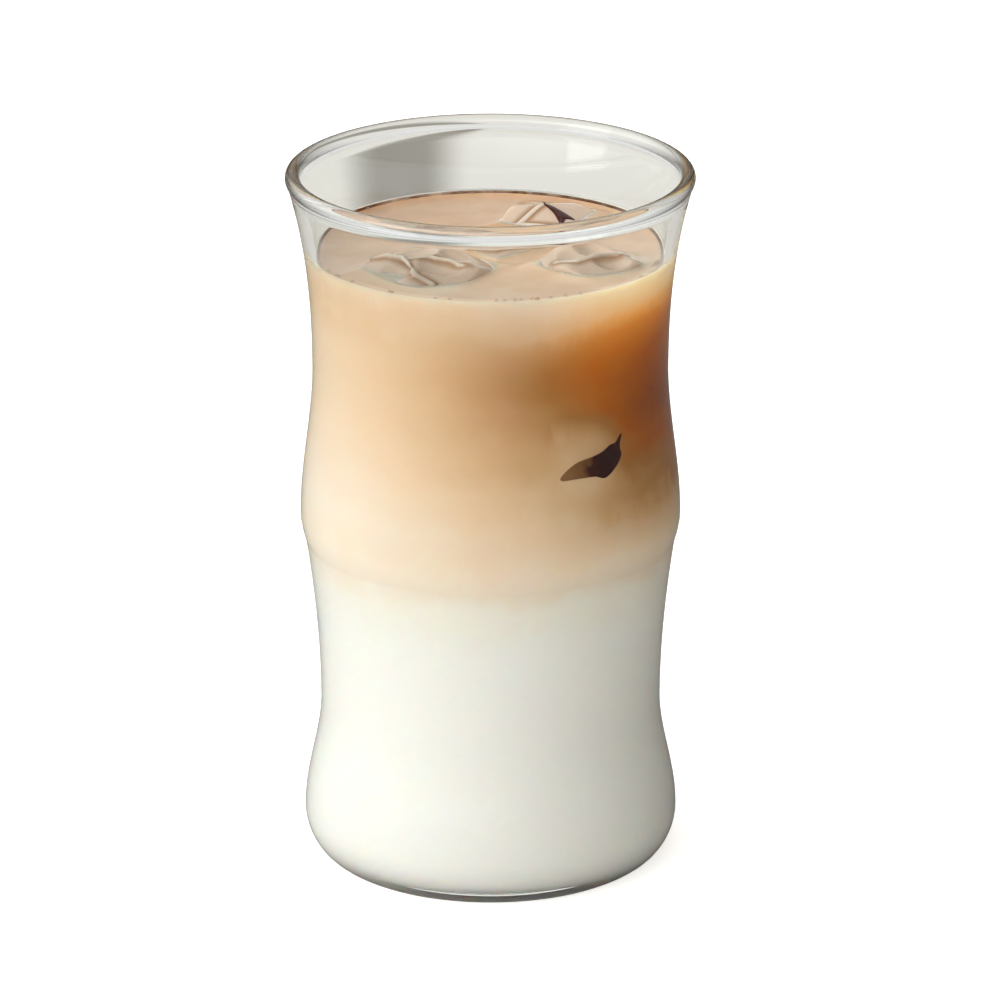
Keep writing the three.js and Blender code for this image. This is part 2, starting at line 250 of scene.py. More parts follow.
@dataclass(frozen=True)
class Latte:
    """Cold milk with coffee poured on top: opaque, soft and cloudy; darker on the right by stronger coffee and
    painted shade, with a painted glow at the top right.
    """

    face: LatteFace
    low: float
    high: float
    half_width: float
    ior: float = 1.34
    wet_roughness: float = 0.06
    dry_roughness: float = 0.6
    cloud_mm: float = 16.0
    cloud_depth_mm: float = 5.0
    wisp_mm: float = 4.5
    wisp_depth_mm: float = 2.5
    wisp_stretch: float = 0.35
    # stronger coffee towards the right: partly real, partly painted shade of the side away from the window
    right_coffee_and_shade: float = 2.3
    even_below: float = 68.5
    even_share: float = 0.3
    uneven_above: float = 78.5
    # painted glow at the top right: an orange colour and a weak emission
    glow_from: float = 2.0
    glow_to: float = 28.0
    glow_low: float = 96.0
    glow_high: float = 114.0
    glow_light: float = 0.25
    # painted glow: under the top the right is painted paler than the left, in place of light shining through
    # the edge
    paled_top_from: float = 108.0
    paled_top_left: float = 0.9
    paled_top_right: float = 0.45
    scatter_mm: float = 3.5
    scatter_share: tuple[float, float, float] = (1.0, 0.7, 0.5)
    scatter_from: tuple[float, float] = (11.5, 17.0)
    skin_wisps: float = 0.35
    skin_noise: tuple[float, float] = (0.3, 0.7)
    skin_clouds: float = 0.4
    skin_reach: tuple[float, float] = (-0.9, 0.4)
    skin_depth: float = 0.7
    line_noise: tuple[float, float] = (0.35, 0.6)
    line_least: float = 0.5
    line_reach: tuple[float, float] = (-0.8, 0.1)
    pale_spot: tuple[float, float, float] = (18.0, -27.0, 90.5)
    pale_reach: tuple[float, float] = (3.0, 10.5)
    pale_share: float = 0.72
    film: tuple[float, float] = (0.95, 0.8)
    streak_mm: float = 3.0
    streak_stretch: float = 0.2
    streak_noise: tuple[float, float] = (0.35, 0.7)

    @property
    def strength_stops(self) -> list[tuple[float, float]]:
        """Height in millimetres and strength of the coffee there."""
        return [(50, 0.0), (60, 0.035), (66, 0.11), (75, 0.2), (83, 0.28), (91, 0.37), (99, 0.44), (107, 0.48),
                (114, 0.46), (119, 0.37), (self.high, 0.25)]

    @property
    def colour_stops(self) -> list[tuple[float, tuple]]:
        """Strength of the coffee and the colour that it gives.

        Returns:
            The stops of the face's own ramp, in linear light.
        """
        if self.face is LatteFace.SEAT:
            # painted light: pale colours in place of light that comes in through the ice
            return shades((0.0, "EEDCC2"), (0.6, "E6CDA9"), (1.0, "D9B98E"))
        if self.face is LatteFace.EDGE:
            # painted shade: dark colours for the line where the drink climbs the glass at the back
            return shades((0.0, "E6CDAF"), (0.3, "BFA78E"), (0.6, "76675C"), (1.0, "44342C"))
        if self.face is LatteFace.SURFACE:
            return shades((0.0, "EED8BF"), (0.35, "E0C2A4"), (0.65, "CDAC8A"), (1.0, "B99672"))
        return shades((0.0, "FBF8F1"), (0.12, "F4E7D5"), (0.24, "EED8BA"), (0.34, "E6CAA4"), (0.44, "DAB588"),
                      (0.5, "D2A77A"), (0.56, "C69A64"), (0.64, "B5824A"), (0.78, "BB6C24"), (1.0, "A2581C"))

    @property
    def glow_stops(self) -> list[tuple[float, tuple]]:
        """Strength of the coffee and its painted glow colour, in place of light shining through its edge."""
        return shades((0.0, "FFF2DE"), (0.2, "FADBA6"), (0.4, "F0B264"), (0.6, "DE8E38"), (0.8, "C67622"),
                      (1.0, "AE6018"))

    def material(self) -> bpy.types.Material:
        """Builds the node material.

        Returns:
            The material.
        """
        material, tree, output = new_material(f"iced_latte_{self.face.value}")
        place = add_node(tree, "ShaderNodeTexCoord").outputs["Object"]
        parts = add_node(tree, "ShaderNodeSeparateXYZ", None, {0: place})
        cloud, wisp = self.clouds(tree, place)
        if self.face is LatteFace.SURFACE:
            mixed = self.open_skin(tree, cloud, wisp, parts.outputs["Y"])
        elif self.face is LatteFace.EDGE:
            mixed = self.contact_line_shade(tree, wisp, parts.outputs["Y"])
        else:
            mixed = self.poured(tree, parts, cloud, wisp)
        if self.face in (LatteFace.SIDE, LatteFace.FILM):
            mixed = self.beside_ice(tree, place, mixed.outputs[0])
        if self.face is LatteFace.FILM:
            mixed = self.thin_film(tree, place, mixed.outputs[0])
        colour = add_node(tree, "ShaderNodeValToRGB", None, {"Fac": mixed.outputs[0]})
        set_ramp(colour, self.colour_stops)
        glow = {}
        # painted glow: the side turns orange and emits a little at the top right
        if self.face is LatteFace.SIDE:
            colour, share = self.painted_edge_glow(tree, parts, mixed.outputs[0], colour.outputs["Color"])
            glow = {"Emission Color": colour.outputs["Color"], "Emission Strength": share}
        soft = {}
        if self.face in (LatteFace.SIDE, LatteFace.FILM):
            soft = {"Subsurface Weight": self.soft_share(tree, place)}
        wet = self.face is LatteFace.SURFACE
        shader = add_node(tree, "ShaderNodeBsdfPrincipled",
                          {"Roughness": self.wet_roughness if wet else self.dry_roughness, "IOR": self.ior,
                           "Specular IOR Level": 0.5 if wet else 0.0,
                           "Subsurface Weight": 1.0, "Subsurface Scale": self.scatter_mm * MM,
                           "Subsurface Radius": self.scatter_share},
                          {"Base Color": colour.outputs["Color"], **glow, **soft})
        tree.links.new(shader.outputs["BSDF"], output.inputs["Surface"])
        return material

    def clouds(self, tree: Tree, place: Socket) -> tuple[Socket, Socket]:
        """Adds the two noises of the drink.

        Args:
            tree: The tree that gets the nodes.
            place: The coordinates.

        Returns:
            The broad clouds, and the fine wisps that hang down from them.
        """
        cloud = add_node(tree, "ShaderNodeTexNoise",
                         {"Scale": 1 / (self.cloud_mm * MM), "Detail": 3.0, "Distortion": 0.6},
                         {"Vector": place})
        tall = add_node(tree, "ShaderNodeMapping", {"Scale": (1.0, 1.0, self.wisp_stretch)}, {"Vector": place})
        wisp = add_node(tree, "ShaderNodeTexNoise",
                        {"Scale": 1 / (self.wisp_mm * MM), "Detail": 4.0, "Distortion": 0.4},
                        {"Vector": tall.outputs["Vector"]})
        return cloud.outputs["Fac"], wisp.outputs["Fac"]

    def poured(self, tree: Tree, parts: bpy.types.Node, cloud: Socket, wisp: Socket) -> bpy.types.Node:
        """Adds nodes for the coffee in the drink: none in the milk, more above it, and most on the right,
        partly real coffee and partly painted shade of the side away from the window; near the top the right is
        painted paler instead, a painted glow.

        Args:
            tree: The tree that gets the nodes.
            parts: The node that splits the coordinates.
            cloud: The broad noise.
            wisp: The fine noise.

        Returns:
            A node whose output is the strength of the coffee.
        """
        height = parts.outputs["Z"]
        for texture, depth in ((cloud, self.cloud_depth_mm), (wisp, self.wisp_depth_mm)):
            centred = add_node(tree, "ShaderNodeMath", {1: 0.5}, {0: texture}, operation="SUBTRACT")
            height = add_node(tree, "ShaderNodeMath", {1: 2 * depth * MM},
                              {0: centred.outputs[0], 2: height}, operation="MULTIPLY_ADD").outputs[0]
        share = add_node(tree, "ShaderNodeMapRange", {"From Min": self.low * MM, "From Max": self.high * MM},
                         {"Value": height})
        strength = add_node(tree, "ShaderNodeValToRGB", None, {"Fac": share.outputs["Result"]})
        strength.color_ramp.interpolation = "EASE"
        span = self.high - self.low
        set_ramp(strength, [((z - self.low) / span, (s, s, s, 1)) for z, s in self.strength_stops])
        # real coffee and painted shade: the coffee grows stronger towards the right, above the even milk
        across = add_node(tree, "ShaderNodeMath", {1: self.half_width * MM}, {0: parts.outputs["X"]},
                          operation="DIVIDE")
        above = add_node(tree, "ShaderNodeMapRange",
                         {"From Min": self.even_below * MM, "From Max": self.uneven_above * MM,
                          "To Min": self.even_share},
                         {"Value": parts.outputs["Z"]}, interpolation_type="SMOOTHSTEP")
        slope = add_node(tree, "ShaderNodeMath", None, {0: across.outputs[0], 1: above.outputs["Result"]},
                         operation="MULTIPLY")
        side = add_node(tree, "ShaderNodeMath", {0: self.right_coffee_and_shade}, {1: slope.outputs[0]}, operation="POWER")
        # painted glow: near the top the coffee thins towards the right, a paler band in place of light shining
        # through
        top = add_node(tree, "ShaderNodeMapRange", {"From Min": self.paled_top_from * MM, "From Max": self.high * MM},
                       {"Value": parts.outputs["Z"]}, interpolation_type="SMOOTHSTEP")
        paled_top_side = add_node(tree, "ShaderNodeMapRange",
                            {"From Min": -self.half_width * MM, "From Max": self.half_width * MM,
                             "To Min": self.paled_top_left, "To Max": self.paled_top_right}, {"Value": parts.outputs["X"]})
        uneven = add_node(tree, "ShaderNodeMix", None,
                          {"Factor": top.outputs["Result"], "A": side.outputs[0],
                           "B": paled_top_side.outputs["Result"]})
        return add_node(tree, "ShaderNodeMath", None,
                        {0: strength.outputs["Color"], 1: uneven.outputs["Result"]}, operation="MULTIPLY")

    def painted_edge_glow(self, tree: Tree, parts: bpy.types.Node, strength: Socket,
                 colour: Socket) -> tuple[bpy.types.Node, Socket]:
        """Adds nodes for the orange of the coffee on the right, where light shines through its edge.

        Args:
            tree: The tree that gets the nodes.
            parts: The node that splits the coordinates.
            strength: The strength of the coffee.
            colour: The colour away from the edge.

        Returns:
            A node whose output is the colour everywhere, and the strength of the painted emission at the edge.
        """
        glow = add_node(tree, "ShaderNodeValToRGB", None, {"Fac": strength})
        set_ramp(glow, self.glow_stops)
        across = add_node(tree, "ShaderNodeMapRange",
                          {"From Min": self.glow_from * MM, "From Max": self.glow_to * MM},
                          {"Value": parts.outputs["X"]}, interpolation_type="SMOOTHSTEP")
        up = add_node(tree, "ShaderNodeMapRange",
                      {"From Min": self.glow_low * MM, "From Max": self.glow_high * MM},
                      {"Value": parts.outputs["Z"]}, interpolation_type="SMOOTHSTEP")
        share = add_node(tree, "ShaderNodeMath", None, {0: across.outputs["Result"], 1: up.outputs["Result"]},
                         operation="MULTIPLY")
        light = add_node(tree, "ShaderNodeMath", {1: self.glow_light}, {0: share.outputs[0]},
                         operation="MULTIPLY")
        mixed = add_node(tree, "ShaderNodeMixRGB", None,
                         {0: share.outputs[0], 1: colour, 2: glow.outputs["Color"]})
        return mixed, light.outputs[0]

    def open_skin(self, tree: Tree, cloud: Socket, wisp: Socket, back: Socket) -> bpy.types.Node:
        """Adds nodes for the open surface, where milk and coffee lie in broad clouds and fine wisps.

        Args:
            tree: The tree that gets the nodes.
            cloud: The broad noise.
            wisp: The fine noise.
            back: How far back a point lies, since more milk has come up at the front.

        Returns:
            A node whose output is the strength of the surface.
        """
        both = add_node(tree, "ShaderNodeMix", {"Factor": self.skin_wisps}, {"A": cloud, "B": wisp})
        uneven = add_node(tree, "ShaderNodeMapRange",
                          {"From Min": self.skin_noise[0], "From Max": self.skin_noise[1],
                           "To Max": self.skin_clouds}, {"Value": both.outputs["Result"]})
        near, far = (share * self.half_width * MM for share in self.skin_reach)
        depth = add_node(tree, "ShaderNodeMapRange",
                         {"From Min": near, "From Max": far, "To Max": self.skin_depth}, {"Value": back})
        return add_node(tree, "ShaderNodeMath", None, {0: uneven.outputs["Result"], 1: depth.outputs["Result"]},
                        operation="ADD")

    def contact_line_shade(self, tree: Tree, wisp: Socket, back: Socket) -> bpy.types.Node:
        """Adds nodes for the drink that climbs the glass: painted shade, dark and broken at the back, and pale
        at the front.

        Args:
            tree: The tree that gets the nodes.
            wisp: The fine noise.
            back: How far back a point lies.

        Returns:
            A node whose output is the darkness of the painted shade line.
        """
        broken = add_node(tree, "ShaderNodeMapRange",
                          {"From Min": self.line_noise[0], "From Max": self.line_noise[1],
                           "To Min": self.line_least}, {"Value": wisp})
        near, far = (share * self.half_width * MM for share in self.line_reach)
        depth = add_node(tree, "ShaderNodeMapRange", {"From Min": near, "From Max": far}, {"Value": back})
        return add_node(tree, "ShaderNodeMath", None, {0: broken.outputs["Result"], 1: depth.outputs["Result"]},
                        operation="MULTIPLY")

    def soft_share(self, tree: Tree, place: Socket) -> Socket:
        """Adds nodes for how far light spreads in the drink: not at all where it is a thin film over held ice.

        Args:
            tree: The tree that gets the nodes.
            place: The coordinates.

        Returns:
            The share of light that spreads.
        """
        return add_node(tree, "ShaderNodeMapRange",
                        {"From Min": self.scatter_from[0] * MM, "From Max": self.scatter_from[1] * MM},
                        {"Value": self.from_held_ice(tree, place)},
                        interpolation_type="SMOOTHSTEP").outputs["Result"]

    def from_held_ice(self, tree: Tree, place: Socket) -> Socket:
        """Adds a node for the distance from the middle of the ice that is held against the glass.

        Args:
            tree: The tree that gets the node.
            place: The coordinates.

        Returns:
            The distance.
        """
        middle = tuple(c * MM for c in self.pale_spot)
        return add_node(tree, "ShaderNodeVectorMath", {1: middle}, {0: place},
                        operation="DISTANCE").outputs["Value"]

    def beside_ice(self, tree: Tree, place: Socket, strength: Socket) -> bpy.types.Node:
        """Adds nodes for the paler drink round the ice that is held against the glass.

        Args:
            tree: The tree that gets the nodes.
            place: The coordinates.
            strength: The strength of the coffee away from the ice.

        Returns:
            A node whose output is the strength everywhere.
        """
        share = add_node(tree, "ShaderNodeMapRange",
                         {"From Min": self.pale_reach[0] * MM, "From Max": self.pale_reach[1] * MM,
                          "To Min": self.pale_share}, {"Value": self.from_held_ice(tree, place)},
                         interpolation_type="SMOOTHSTEP")
        return add_node(tree, "ShaderNodeMath", None, {0: strength, 1: share.outputs["Result"]},
                        operation="MULTIPLY")

    def thin_film(self, tree: Tree, place: Socket, strength: Socket) -> bpy.types.Node:
        """Adds nodes for the weaker coffee over ice that lies against the glass, in upright streaks.

        Args:
            tree: The tree that gets the nodes.
            place: The coordinates of the streaks.
            strength: The strength of the coffee beside the ice.

        Returns:
            A node whose output is the strength over the ice.
        """
        tall = add_node(tree, "ShaderNodeMapping", {"Scale": (1.0, 1.0, self.streak_stretch)},
                        {"Vector": place})
        streak = add_node(tree, "ShaderNodeTexNoise", {"Scale": 1 / (self.streak_mm * MM), "Detail": 2.0},
                          {"Vector": tall.outputs["Vector"]})
        thin = add_node(tree, "ShaderNodeMapRange",
                        {"From Min": self.streak_noise[0], "From Max": self.streak_noise[1],
                         "To Min": self.film[0], "To Max": self.film[1]}, {"Value": streak.outputs["Fac"]})
        pressed = add_node(tree, "ShaderNodeAttribute", attribute_name=PRESSED)
        share = add_node(tree, "ShaderNodeMix", {"A": 1.0},
                         {"Factor": pressed.outputs["Fac"], "B": thin.outputs["Result"]})
        return add_node(tree, "ShaderNodeMath", None, {0: strength, 1: share.outputs["Result"]},
                        operation="MULTIPLY")


@dataclass(frozen=True)
class ClearIce:
    """Melting tray ice: clear below the waterline, clouded with latte above it, with a painted highlight and
    painted shade along its thin ridges.
    """

    waterline: float
    name: str = "melting_ice"
    clear_tint: str = "F1F4F2"
    tint: str = "F6E0C8"
    ridge_painted_highlight: str = "FFF3DF"
    ridge_painted_shade: str = "BE966E"
    ridge_stops: tuple[float, float, float] = (0.2, 0.36, 0.46)
    ior: float = 1.31
    clearness: float = 0.52
    clearness_below: float = 0.94
    wet_fade_mm: float = 4.0
    roughness: float = 0.04
    ripple_mm: float = 4.0
    ripple_depth_mm: float = 0.08

    def material(self) -> bpy.types.Material:
        """Builds the node material.

        Returns:
            The material.
        """
        material, tree, output = new_material(self.name)
        place = add_node(tree, "ShaderNodeTexCoord")
        ripple = add_node(tree, "ShaderNodeTexNoise", {"Scale": 1 / (self.ripple_mm * MM), "Detail": 2.0},
                          {"Vector": place.outputs["Object"]})
        bump = add_node(tree, "ShaderNodeBump", {"Strength": 1.0, "Distance": self.ripple_depth_mm * MM},
                        {"Height": ripple.outputs["Fac"]})
        away = add_node(tree, "ShaderNodeAttribute", attribute_name=RIDGE)
        # painted highlight on each ridge and painted shade beside it
        colour = add_node(tree, "ShaderNodeValToRGB", None, {"Fac": away.outputs["Fac"]})
        bright, shade, end = self.ridge_stops
        set_ramp(colour, shades((0.0, self.ridge_painted_highlight), (bright, self.ridge_painted_highlight), (shade, self.ridge_painted_shade),
                                (end, self.ridge_painted_shade), (1.0, self.tint)))
        parts = add_node(tree, "ShaderNodeSeparateXYZ", None, {0: place.outputs["Object"]})
        wet = add_node(tree, "ShaderNodeMapRange",
                       {"From Min": (self.waterline - self.wet_fade_mm) * MM, "From Max": self.waterline * MM},
                       {"Value": parts.outputs["Z"]}, interpolation_type="SMOOTHSTEP")
        mixed = add_node(tree, "ShaderNodeMixRGB", {1: linear(self.clear_tint)},
                         {0: wet.outputs["Result"], 2: colour.outputs["Color"]})
        clear = add_node(tree, "ShaderNodeMapRange", {"To Min": self.clearness_below, "To Max": self.clearness},
                         {"Value": wet.outputs["Result"]})
        shader = add_node(tree, "ShaderNodeBsdfPrincipled", {"Roughness": self.roughness, "IOR": self.ior},
                          {"Base Color": mixed.outputs["Color"], "Normal": bump.outputs["Normal"],
                           "Transmission Weight": clear.outputs["Result"]})
        tree.links.new(shader.outputs["BSDF"], output.inputs["Surface"])
        return material


@dataclass(frozen=True)
class DarkCoffee:
    """Unmixed coffee in a thin film: brown where it thins out, maroon to black where it pools."""

    name: str = "unmixed_coffee"
    start: float = 12.0
    end: float = 25.0
    mottle_mm: float = 2.5
    mottle: float = 0.3
    roughness: float = 0.2
    gloss: float = 0.1
    stops: tuple[tuple[float, str], ...] = (
        (0.0, "94704A"), (0.44, "7A5430"), (0.56, "3A0E08"), (0.8, "2A0604"), (1.0, "3C0F09"))

    def material(self) -> bpy.types.Material:
        """Builds the node material.

        Returns:
            The material.
        """
        material, tree, output = new_material(self.name)
        place = add_node(tree, "ShaderNodeTexCoord")
        parts = add_node(tree, "ShaderNodeSeparateXYZ", None, {0: place.outputs["Object"]})
        mottle = add_node(tree, "ShaderNodeTexNoise", {"Scale": 1 / (self.mottle_mm * MM), "Detail": 2.0},
                          {"Vector": place.outputs["Object"]})
        along = add_node(tree, "ShaderNodeMapRange", {"From Min": self.start * MM, "From Max": self.end * MM},
                         {"Value": parts.outputs["X"]})
        uneven = add_node(tree, "ShaderNodeMath", {1: self.mottle, 2: -self.mottle / 2},
                          {0: mottle.outputs["Fac"]}, operation="MULTIPLY_ADD")
        share = add_node(tree, "ShaderNodeMath", None, {0: along.outputs["Result"], 1: uneven.outputs[0]},
                         operation="ADD")
        colour = add_node(tree, "ShaderNodeValToRGB", None, {"Fac": share.outputs[0]})
        set_ramp(colour, shades(*self.stops))
        shader = add_node(tree, "ShaderNodeBsdfPrincipled",
                          {"Roughness": self.roughness, "Specular IOR Level": self.gloss},
                          {"Base Color": colour.outputs["Color"]})
        tree.links.new(shader.outputs["BSDF"], output.inputs["Surface"])
        return material


@dataclass(frozen=True)
class BubbleFilm:
    """The thin skin of a bubble: clear and glossy, a pale dot with a fine dark edge."""

    name: str = "bubble_film"
    tint: str = "F6EBDC"
    ior: float = 1.2
    roughness: float = 0.02
    clearness: float = 0.8

    def material(self) -> bpy.types.Material:
        """Builds the node material.

        Returns:
            The material.
        """
        material, tree, output = new_material(self.name)
        shader = add_node(tree, "ShaderNodeBsdfPrincipled",
                          {"Base Color": linear(self.tint), "Roughness": self.roughness, "IOR": self.ior,
                           "Transmission Weight": self.clearness})
        tree.links.new(shader.outputs["BSDF"], output.inputs["Surface"])
        return material


@dataclass(frozen=True)
class PaleFloor:
    """Matt white paper: it shows as plain white and keeps the soft shadow of what stands on it."""

    name: str = "white_paper"
    colour: str = "ECEAE5"
    mirrored_colour: str = "6E6B67"
    through_colour: str = "CFCDC7"
    dim_colour: str = "8A8780"
    dim_stops: tuple[float, ...] = (-58.0, -36.0, -22.0, -6.0)
    dim_from: float = 180.0
    dim_full: float = 234.0
    straight_glow: float = 0.6

    def material(self) -> bpy.types.Material:
        """Builds the node material, whose glow is only for the eye and lights nothing.

        Returns:
            The material.
        """
        material, tree, output = new_material(self.name)
        path = add_node(tree, "ShaderNodeLightPath")
        mirrored = add_node(tree, "ShaderNodeMath", None,
                            {0: path.outputs["Is Glossy Ray"], 1: path.outputs["Is Transmission Ray"]},
                            operation="SUBTRACT", use_clamp=True)
        through = seen_through_glass(tree, path)
        shade = add_node(tree, "ShaderNodeMixRGB", {1: linear(self.colour), 2: linear(self.mirrored_colour)},
                         {0: mirrored.outputs[0]})
        shade = add_node(tree, "ShaderNodeMixRGB", None,
                         {0: through, 1: shade.outputs["Color"], 2: self.behind_glass(tree)})
        paper = add_node(tree, "ShaderNodeBsdfDiffuse", None, {"Color": shade.outputs["Color"]})
        strength = add_node(tree, "ShaderNodeMath", {1: self.straight_glow}, {0: path.outputs["Is Camera Ray"]},
                            operation="MULTIPLY")
        glow = add_node(tree, "ShaderNodeEmission", None, {"Strength": strength.outputs[0]})
        both = add_node(tree, "ShaderNodeAddShader", None, {0: paper.outputs[0], 1: glow.outputs[0]})
        tree.links.new(both.outputs[0], output.inputs["Surface"])
        return material

    def behind_glass(self, tree: Tree) -> Socket:
        """Adds nodes for the paper as it is seen through the glass, with a dim shape of the room at the left.

        Args:
            tree: The tree that gets the nodes.

        Returns:
            The colour.
        """
        place = add_node(tree, "ShaderNodeTexCoord")
        parts = add_node(tree, "ShaderNodeSeparateXYZ", None, {0: place.outputs["Object"]})
        left, dim_left, dim_right, right = (x * MM for x in self.dim_stops)
        shares = [add_node(tree, "ShaderNodeMapRange", {"From Min": low, "From Max": high},
                           {"Value": parts.outputs[axis]}, interpolation_type="SMOOTHSTEP").outputs["Result"]
                  for axis, low, high in (("X", left, dim_left), ("X", right, dim_right),
                                          ("Y", self.dim_from * MM, self.dim_full * MM))]
        both = add_node(tree, "ShaderNodeMath", None, {0: shares[0], 1: shares[1]}, operation="MULTIPLY")
        share = add_node(tree, "ShaderNodeMath", None, {0: both.outputs[0], 1: shares[2]}, operation="MULTIPLY")
        return add_node(tree, "ShaderNodeMixRGB", {1: linear(self.through_colour), 2: linear(self.dim_colour)},
                        {0: share.outputs[0]}).outputs["Color"]


def mesh_object(name: str, points: np.ndarray, faces: list[Sequence[int]]) -> bpy.types.Object:
    """Makes a smooth mesh object in the row frame.

    Args:
        name: The object's name.
        points: Vertices in millimetres.
        faces: Vertex numbers of each face.

    Returns:
        The linked object.
    """
    mesh = bpy.data.meshes.new(name)
    mesh.from_pydata((np.asarray(points) * MM).tolist(), [], faces)
    mesh.shade_smooth()
    mesh.update()
    made = bpy.data.objects.new(name, mesh)
    bpy.context.scene.collection.objects.link(made)
    return made


def skin_rings(name: str, rings: np.ndarray, start: Sequence[float], end: Sequence[float]) -> bpy.types.Object:
    """Skins a row of closed rings, with a point before the first and after the last.

    Args:
        name: The object's name.
        rings: Points in millimetres, as rings by points by three.
        start: The point that closes the first ring.
        end: The point that closes the last ring.

    Returns:
        The closed object.
    """
    count, steps, _ = rings.shape
    points = np.vstack([rings.reshape(-1, 3), [start], [end]])
    first, last = count * steps, count * steps + 1
    faces: list[Sequence[int]] = []
    for j in range(steps):
        k = (j + 1) % steps
        faces.append((first, k, j))
        faces.append((last, (count - 1) * steps + j, (count - 1) * steps + k))
        for i in range(count - 1):
            faces.append((i * steps + j, i * steps + k, (i + 1) * steps + k, (i + 1) * steps + j))
    return mesh_object(name, points, faces)


def turned_rings(outline: np.ndarray, steps: int) -> np.ndarray:
    """Turns an outline of radius and height about the axis.

    Args:
        outline: Radius and height of each point, in millimetres.
        steps: Points in a ring.

    Returns:
        Rings by points by three.
    """
    angles = np.linspace(0, 2 * np.pi, steps, endpoint=False)
    radius, height = outline[:, 0, None], outline[:, 1, None]
    return np.stack([radius * np.cos(angles), radius * np.sin(angles),
                     np.broadcast_to(height, (len(outline), steps))], axis=-1)


@dataclass(frozen=True)
class Station:
    """A height on the wall, its outer radius there and how far the wall leans out below and above it."""

    z: float
    r: float
    lean_in: float = 0.0
    lean_out: float = 0.0


@dataclass(frozen=True)
class BambooWall:
    """The curve of the blown wall, from the base up through the crease and ring to the flared mouth."""

    height: float
    mouth_radius: float
    floor: float
    wall: float = 2.3
    foot_radius: float = 29.2
    base_radius: float = 36.7
    base_rise: float = 9.5
    lower_waist_radius: float = 33.4
    lower_waist_height: float = 32.2
    crease_radius: float = 36.1
    crease_height: float = 65.3
    ring_radius: float = 37.15
    ring_height: float = 70.7
    upper_waist_radius: float = 34.6
    upper_waist_height: float = 100.5
    floor_radius: float = 27.5
    hollow_radius: float = 20.0
    hollow_depth: float = 1.2
    bead: float = 1.5
    bead_from: float = -45.0
    bead_to: float = 217.4
    crease_half_width: float = 0.25
    lean_below_crease: float = 0.15
    lean_above_crease: float = 0.32
    lean_at_mouth: float = 0.31

    @property
    def top(self) -> float:
        """Height at which the frame's lip starts and the curve of the wall ends."""
        return self.height - self.wall / 2

    @property
    def stations(self) -> list[Station]:
        """The points that the wall passes through.

        Returns:
            The stations from the base to the mouth.
        """
        return [Station(self.base_rise, self.base_radius),
                Station(self.lower_waist_height, self.lower_waist_radius),
                Station(self.crease_height, self.crease_radius, self.lean_below_crease, self.lean_above_crease),
                Station(self.ring_height, self.ring_radius),
                Station(self.upper_waist_height, self.upper_waist_radius),
                Station(self.top, self.mouth_radius, self.lean_at_mouth, self.lean_at_mouth)]

    def outer(self, z: np.ndarray) -> np.ndarray:
        """Outer radius at heights above the heel.

        Args:
            z: Heights in millimetres.

        Returns:
            Radii in millimetres.
        """
        z = np.asarray(z, float)
        radius = np.zeros_like(z)
        for a, b in zip(self.stations, self.stations[1:]):
            here = (z >= a.z) | (a is self.stations[0])
            span = b.z - a.z
            t = (z - a.z) / span
            curve = (a.r + (b.r - a.r) * t * t * (3 - 2 * t) + a.lean_out * span * t * (1 - t) ** 2
                     + b.lean_in * span * t * t * (t - 1))
            radius = np.where(here, curve, radius)
        return radius

    def inner(self, z: np.ndarray) -> np.ndarray:
        """Inner radius at heights above the floor, round the heel too.

        Args:
            z: Heights in millimetres.

        Returns:
            Radii in millimetres.
        """
        z = np.asarray(z, float)
        drop = np.clip((self.base_rise - z) / (self.base_rise - self.floor), 0, 1)
        reach = self.base_radius - self.wall - self.floor_radius
        heel = self.floor_radius + reach * np.sqrt(1 - drop ** 2)
        return np.where(z < self.base_rise, heel, self.outer(np.maximum(z, self.base_rise)) - self.wall)

    def levels(self, low: float, high: float, step: float) -> np.ndarray:
        """Heights between two heights, among them the crease and the ring.

        Args:
            low: The first height.
            high: The last height.
            step: The spacing.

        Returns:
            The heights in order.
        """
        even = np.linspace(low, high, max(2, round((high - low) / step) + 1))
        marks = [s.z for s in self.stations]
        marks += [self.crease_height - self.crease_half_width, self.crease_height + self.crease_half_width]
        marks = [z for z in marks if low < z < high]
        return np.unique(np.round(np.concatenate([even, marks]), 4))


